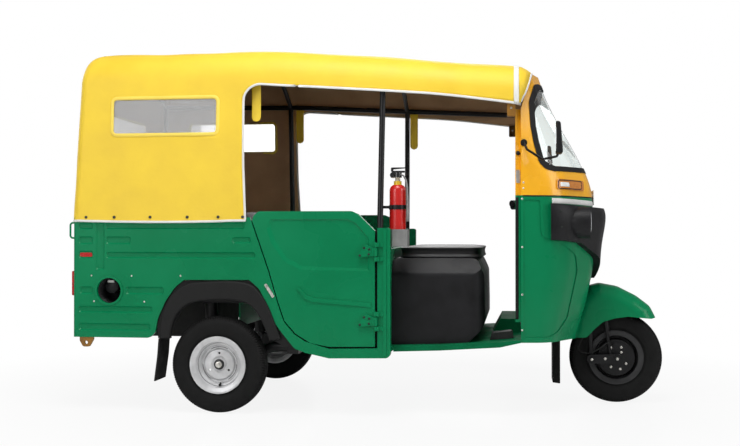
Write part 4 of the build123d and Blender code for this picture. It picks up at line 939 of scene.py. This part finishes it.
def rounded_loop(low_u, high_u, low_v, high_v, radius, count):
    """Closed loop of a rectangle with rounded corners in two coordinates, points spread evenly along it."""
    angle = np.radians(np.linspace(0.0, 90.0, 9))
    corners = [(high_u - radius, high_v - radius, 0.0), (low_u + radius, high_v - radius, 0.5),
               (low_u + radius, low_v + radius, 1.0), (high_u - radius, low_v + radius, 1.5)]
    arcs = [np.stack([u + radius * np.cos(angle + np.pi * turn), v + radius * np.sin(angle + np.pi * turn)],
                     axis=1) for u, v, turn in corners]
    loop = np.vstack(arcs + [arcs[0][:1]])
    length = np.concatenate([[0.0], np.cumsum(np.linalg.norm(np.diff(loop, axis=0), axis=1))])
    even = np.linspace(0.0, length[-1], count, endpoint=False)
    return np.stack([np.interp(even, length, loop[:, k]) for k in (0, 1)], axis=1)


bezel_loop = rounded_loop(0.9895, 1.1150, 1.1580, 1.2015, 0.010, 90)
bar_spots = np.stack([np.linspace(1.000, 1.046, 24), np.full(24, 1.1800)], axis=1)
for side, way in SIDES:
    add_strip("indicator_bezel_" + side, "black_plastic", black_plastic,
              *landed_aside("indicators", bezel_loop, way), 0.0026, 0.0016, closed=True)
    add_strip("indicator_panel_" + side, "clear_lens", clear_panel,
              *landed_aside("indicators", bar_spots, way), 0.0115, 0.0018, 14)


# Window borders: a doubled hem of the yellow vinyl round each clear window of the cover.
# It is welded to the film and sewn to the cover, a little outside the window's cut edge.
yellow_hem = vinyl_finish("yellow_hem", (0.86, 0.63, 0.085), (0.93, 0.71, 0.110), 170.0, 0.0005)
BORDER_GAP = 0.004
BORDER_HALF_W = 0.0100
BORDER_HALF_T = 0.0036


def window_loop(low_u, high_u, rows):
    """Round-cornered loop a little outside a window that spans two rows of the wall."""
    low_z, high_z = WALL_Z[rows]
    return rounded_loop(low_u - BORDER_GAP, high_u + BORDER_GAP, low_z - BORDER_GAP, high_z + BORDER_GAP,
                        0.026, 160).T


for side, way in SIDES:
    u, v = window_loop(WINDOW_X[1], WINDOW_X[0], pane_rows)
    path = np.stack([u, way * cover_wall(u, v), v], axis=1)
    add_strip("window_border_" + side, "yellow_vinyl", yellow_hem, path, (0.0, way, 0.04),
              BORDER_HALF_W, BORDER_HALF_T, closed=True)
u, v = window_loop(-REAR_WINDOW_Y, REAR_WINDOW_Y, back_rows)
path = np.stack([cover_back(v), u, v], axis=1)
add_strip("window_border_rear", "yellow_vinyl", yellow_hem, path, (-1.0, 0.0, 0.04),
          BORDER_HALF_W, BORDER_HALF_T, closed=True)


# Front band: a broad white webbing sewn over the front bow, from one doorway over the roof to the other.
# It lies a millimetre proud of the cover's section.
BAND_X = 0.778
BAND_LIFT = 0.001
arch_y, arch_z = cover_arch(np.full(len(ARCH_T), BAND_X), ARCH_T)
eave_at_band = float(cover_size(np.array(BAND_X), EAVE_Z))
foot_z = np.linspace(float(doorway_top(np.array(BAND_X))), eave_at_band, 6)[:-1]
foot_y = cover_wall(np.full(len(foot_z), BAND_X), foot_z)
half_y = np.concatenate([foot_y, arch_y])
half_band = np.stack([np.full(len(half_y), BAND_X), -half_y, np.concatenate([foot_z, arch_z])], axis=1)
band = np.vstack([half_band, half_band[-2::-1] * (1.0, -1.0, 1.0)])
band_out = np.cross(np.gradient(band, axis=0), (-1.0, 0.0, 0.0))
band_out = band_out / np.linalg.norm(band_out, axis=1, keepdims=True)
add_strip("front_band", "white_trim", white_tape, band + BAND_LIFT * band_out, band_out, 0.0130, 0.0022)


# Fixings on the body sides: pale rivets, a red acrylic reflector, a bright latch plate and dark hinge bolts.
# Rivets, reflector and latch plate stay on the body; the bolts hold the hinges and swing with the doors.
BOLT = [(-0.002, 0.0), (-0.002, 0.0062), (0.0025, 0.0062), (0.0034, 0.0050), (0.0034, 0.0)]
RIVET_SPOTS = ((-1.434, 0.708), (-1.214, 0.707), (-0.949, 0.709), (-1.145, 0.573), (-1.420, 0.573))
HINGE_Z = (0.836, 0.486)
LEAF_BOLTS = ((-0.006, -0.018), (0.016, 0.020), (0.040, -0.012), (0.042, 0.013))
bolt_steel = finish("blackened_bolt", (0.016, 0.020, 0.018), (0.03, 0.034, 0.032), (0.35, 0.5),
                    60.0, 900.0, 0.0003, Metallic=0.6)
slope = np.array((0.045, 0.0, -0.069)) / math.hypot(0.045, 0.069)
for side, way in SIDES:
    aside = (0.0, way, 0.0)
    rivets = [(x, way * 0.680, z) for x, z in RIVET_SPOTS]
    turned_set("side_rivets_" + side, rivets, RIVET, aside, 14, "chassis", zinc_steel)
    add_plate("side_reflector_" + side, "red_lens", red_lens, (-1.466, way * 0.6752, 0.8175),
              (-way, 0.0, 0.0), UP, 0.034, 0.0110, 0.005)
    along = -slope * way
    add_plate("latch_plate_" + side, "bright_steel", zinc_steel, (-0.476, way * 0.6845, 0.636),
              along, np.cross(aside, along), 0.040, 0.0075, 0.005, 0.2)
    bolts = [(dx, way * 0.6918, z + dz) for z in HINGE_Z for dx, dz in LEAF_BOLTS]
    turned_set("hinge_bolts_" + side, bolts, BOLT, aside, 6, "door_" + side, bolt_steel,
               smooth=False)


# Cab edge: a black strip along the cowl's return flange paints the shade on the flange, with a zinc plate and
# a knob above.
# Higher up, a folded steel bracket is bolted between the roof rail and the windshield frame; its darker amber
# paints the shade it sits in.
KNOB = [(-0.002, 0.0), (-0.002, 0.011), (0.006, 0.011), (0.009, 0.008), (0.010, 0.0)]
PLATE_AND_KNOB = ((0.7860, 1.218), (0.7860, 1.337))
BRACKET_X = 0.752
BRACKET_Y = 0.6020
silver_patch = finish("plain_zinc", (0.42, 0.43, 0.44), (0.58, 0.59, 0.60), (0.3, 0.45),
                      40.0, 700.0, 0.0003, Metallic=0.7)
flange_spots = np.stack([np.full(40, 0.7805), np.linspace(0.495, 1.112, 40)], axis=1)
for side, way in SIDES:
    aside = (0.0, way, 0.0)
    # The black strip paints the shade on the green flange.
    add_strip("flange_shade_strip_" + side, "rubber", rubber, *landed_aside("cowl", flange_spots, way),
              0.0080, 0.0024)
    (plate_at, knob_at), (plate_out, _) = landed_aside("windshield_frame", PLATE_AND_KNOB, way)
    plate_up = np.array(UP) - plate_out[2] * plate_out
    plate_up = plate_up / np.linalg.norm(plate_up)
    add_plate("edge_plate_" + side, "bright_steel", silver_patch, plate_at + 0.0020 * plate_out,
              np.cross(plate_up, plate_out), plate_up, 0.0105, 0.033, 0.004, 0.2)
    turned_set("edge_knob_" + side, [knob_at], KNOB, aside, 24, "chassis", black_plastic)
    # The bracket's darker amber is painted shade.
    add_plate("roof_bracket_" + side, "amber_paint", shaded_amber_paint, (BRACKET_X, way * BRACKET_Y, 1.555),
              (-way, 0.0, 0.0), UP, 0.021, 0.033, 0.055, 0.15)
    turned_set("bracket_bolt_" + side, [(BRACKET_X, way * BRACKET_Y, 1.562)], BOLT, aside, 6,
               "chassis", zinc_steel, smooth=False)


# Door seals: black rubber strip glued inside the edge of each doorway, down the hinge pillar, under the door
# and up its slope.
# It closes the gap round the door, which shuts against it.
SEAL_Y = 0.6455
SEAL = np.array([(0.0755, 0.945), (0.0755, 0.353), (-0.166, 0.348), (-0.2765, 0.3745), (-0.3435, 0.4165),
                 (-0.400, 0.4805), (-0.434, 0.580), (-0.480, 0.735), (-0.542, 0.913), (-0.572, 1.000)])
seal_run = np.concatenate([[0.0], np.cumsum(np.hypot(*np.diff(SEAL, axis=0).T))])
seal_at = np.linspace(0.0, seal_run[-1], 160)
seal_x, seal_z = (np.interp(seal_at, seal_run, SEAL[:, k]) for k in (0, 1))
for side, way in SIDES:
    path = np.stack([seal_x, np.full(len(seal_x), way * SEAL_Y), seal_z], axis=1)
    add_strip("door_seal_" + side, "rubber", rubber, path, (0.0, way, 0.0), 0.012, 0.0035)


# Mask screws: two blackened steel screws at the rear edge of the headlamp mask on each side.
# They go through the moulding into the cowl.
for side, way in SIDES:
    screw_at, _ = landed_aside("headlamp_mask", ((1.000, 1.040), (1.003, 0.962)), way)
    turned_set("mask_screws_" + side, screw_at, BOLT, (0.0, way, 0.0), 6,
               "chassis", bolt_steel, smooth=False)


# Fuel filler: a capped neck of black moulding that stands back in a round cup, let into the right-hand panel.
# A small white clip sits over the top of the cap.
NECK = [(0.0, 0.0), (0.0, 0.030), (0.045, 0.030), (0.045, 0.037), (0.066, 0.037), (0.070, 0.033),
        (0.070, 0.0)]
CUP = [(0.0, 0.0), (0.0, 0.0655), (0.105, 0.0655), (0.105, 0.0635), (0.004, 0.0635), (0.004, 0.0)]
for name, place, profile, steps in (("filler_neck", (-1.342, -0.560, 0.648), NECK, 40),
                                    ("filler_cup", (-1.338, -0.5605, 0.630), CUP, 48)):
    turned_set(name, [place], profile, (0.0, -1.0, 0.0), steps, "chassis", black_plastic)
add_plate("filler_clip", "plate_white", plate_white, (-1.345, -0.6350, 0.6760), (1.0, 0.0, 0.0), UP,
          0.018, 0.006, 0.004, 0.3)


# Front hub: bright zinc bolts on the brake plate, others on the link, and the axle's nut.
# A rubber brake hose runs from the fork leg, in a loose loop, to the brake plate.
NUT = [(-0.003, 0.0), (-0.003, 0.0075), (0.0045, 0.0075), (0.0055, 0.0060), (0.0055, 0.0)]
PLATE_BOLTS = ((0.062, 1.15), (0.062, 2.10), (0.060, -0.55), (0.064, -1.25), (0.058, -2.1), (0.040, 0.85))
hub_bolts = [(FRONT_AXLE_X + r * math.cos(a), -0.0685, AXLE_Z + r * math.sin(a)) for r, a in PLATE_BOLTS]
link_bolts = [(1.181, -0.1310, 0.245), (1.252, -0.1205, 0.249), (FRONT_AXLE_X, -0.1285, AXLE_Z)]
for name, places in (("hub_bolts", hub_bolts), ("link_bolts", link_bolts)):
    turned_set(name, places, NUT, (0.0, -1.0, 0.0), 6, "steering", zinc_steel, smooth=False)
HOSE_D = 0.009
HOSE = np.array([(1.1668, -0.0945, 0.440), (1.150, -0.0985, 0.385), (1.118, -0.104, 0.335),
                 (1.104, -0.118, 0.292), (1.160, -0.138, 0.276), (1.212, -0.142, 0.300),
                 (1.262, -0.126, 0.338), (1.292, -0.090, 0.338), (1.300, -0.0680, 0.322)])
hose_curve = bpy.data.curves.new("brake_hose", "CURVE")
hose_curve.dimensions = "3D"
hose_line = hose_curve.splines.new("NURBS")
hose_line.points.add(len(HOSE) - 1)
hose_line.points.foreach_set("co", np.hstack([HOSE, np.ones((len(HOSE), 1))]).ravel())
hose_line.order_u = 3
hose_line.use_endpoint_u = True
hose_line.resolution_u = 12
hose_curve.bevel_depth = 0.5 * HOSE_D
hose_curve.bevel_resolution = 4
hose_curve.use_fill_caps = True
hose = add_object("brake_hose", hose_curve)
hose_curve.materials.append(rubber)
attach(hose, "steering")
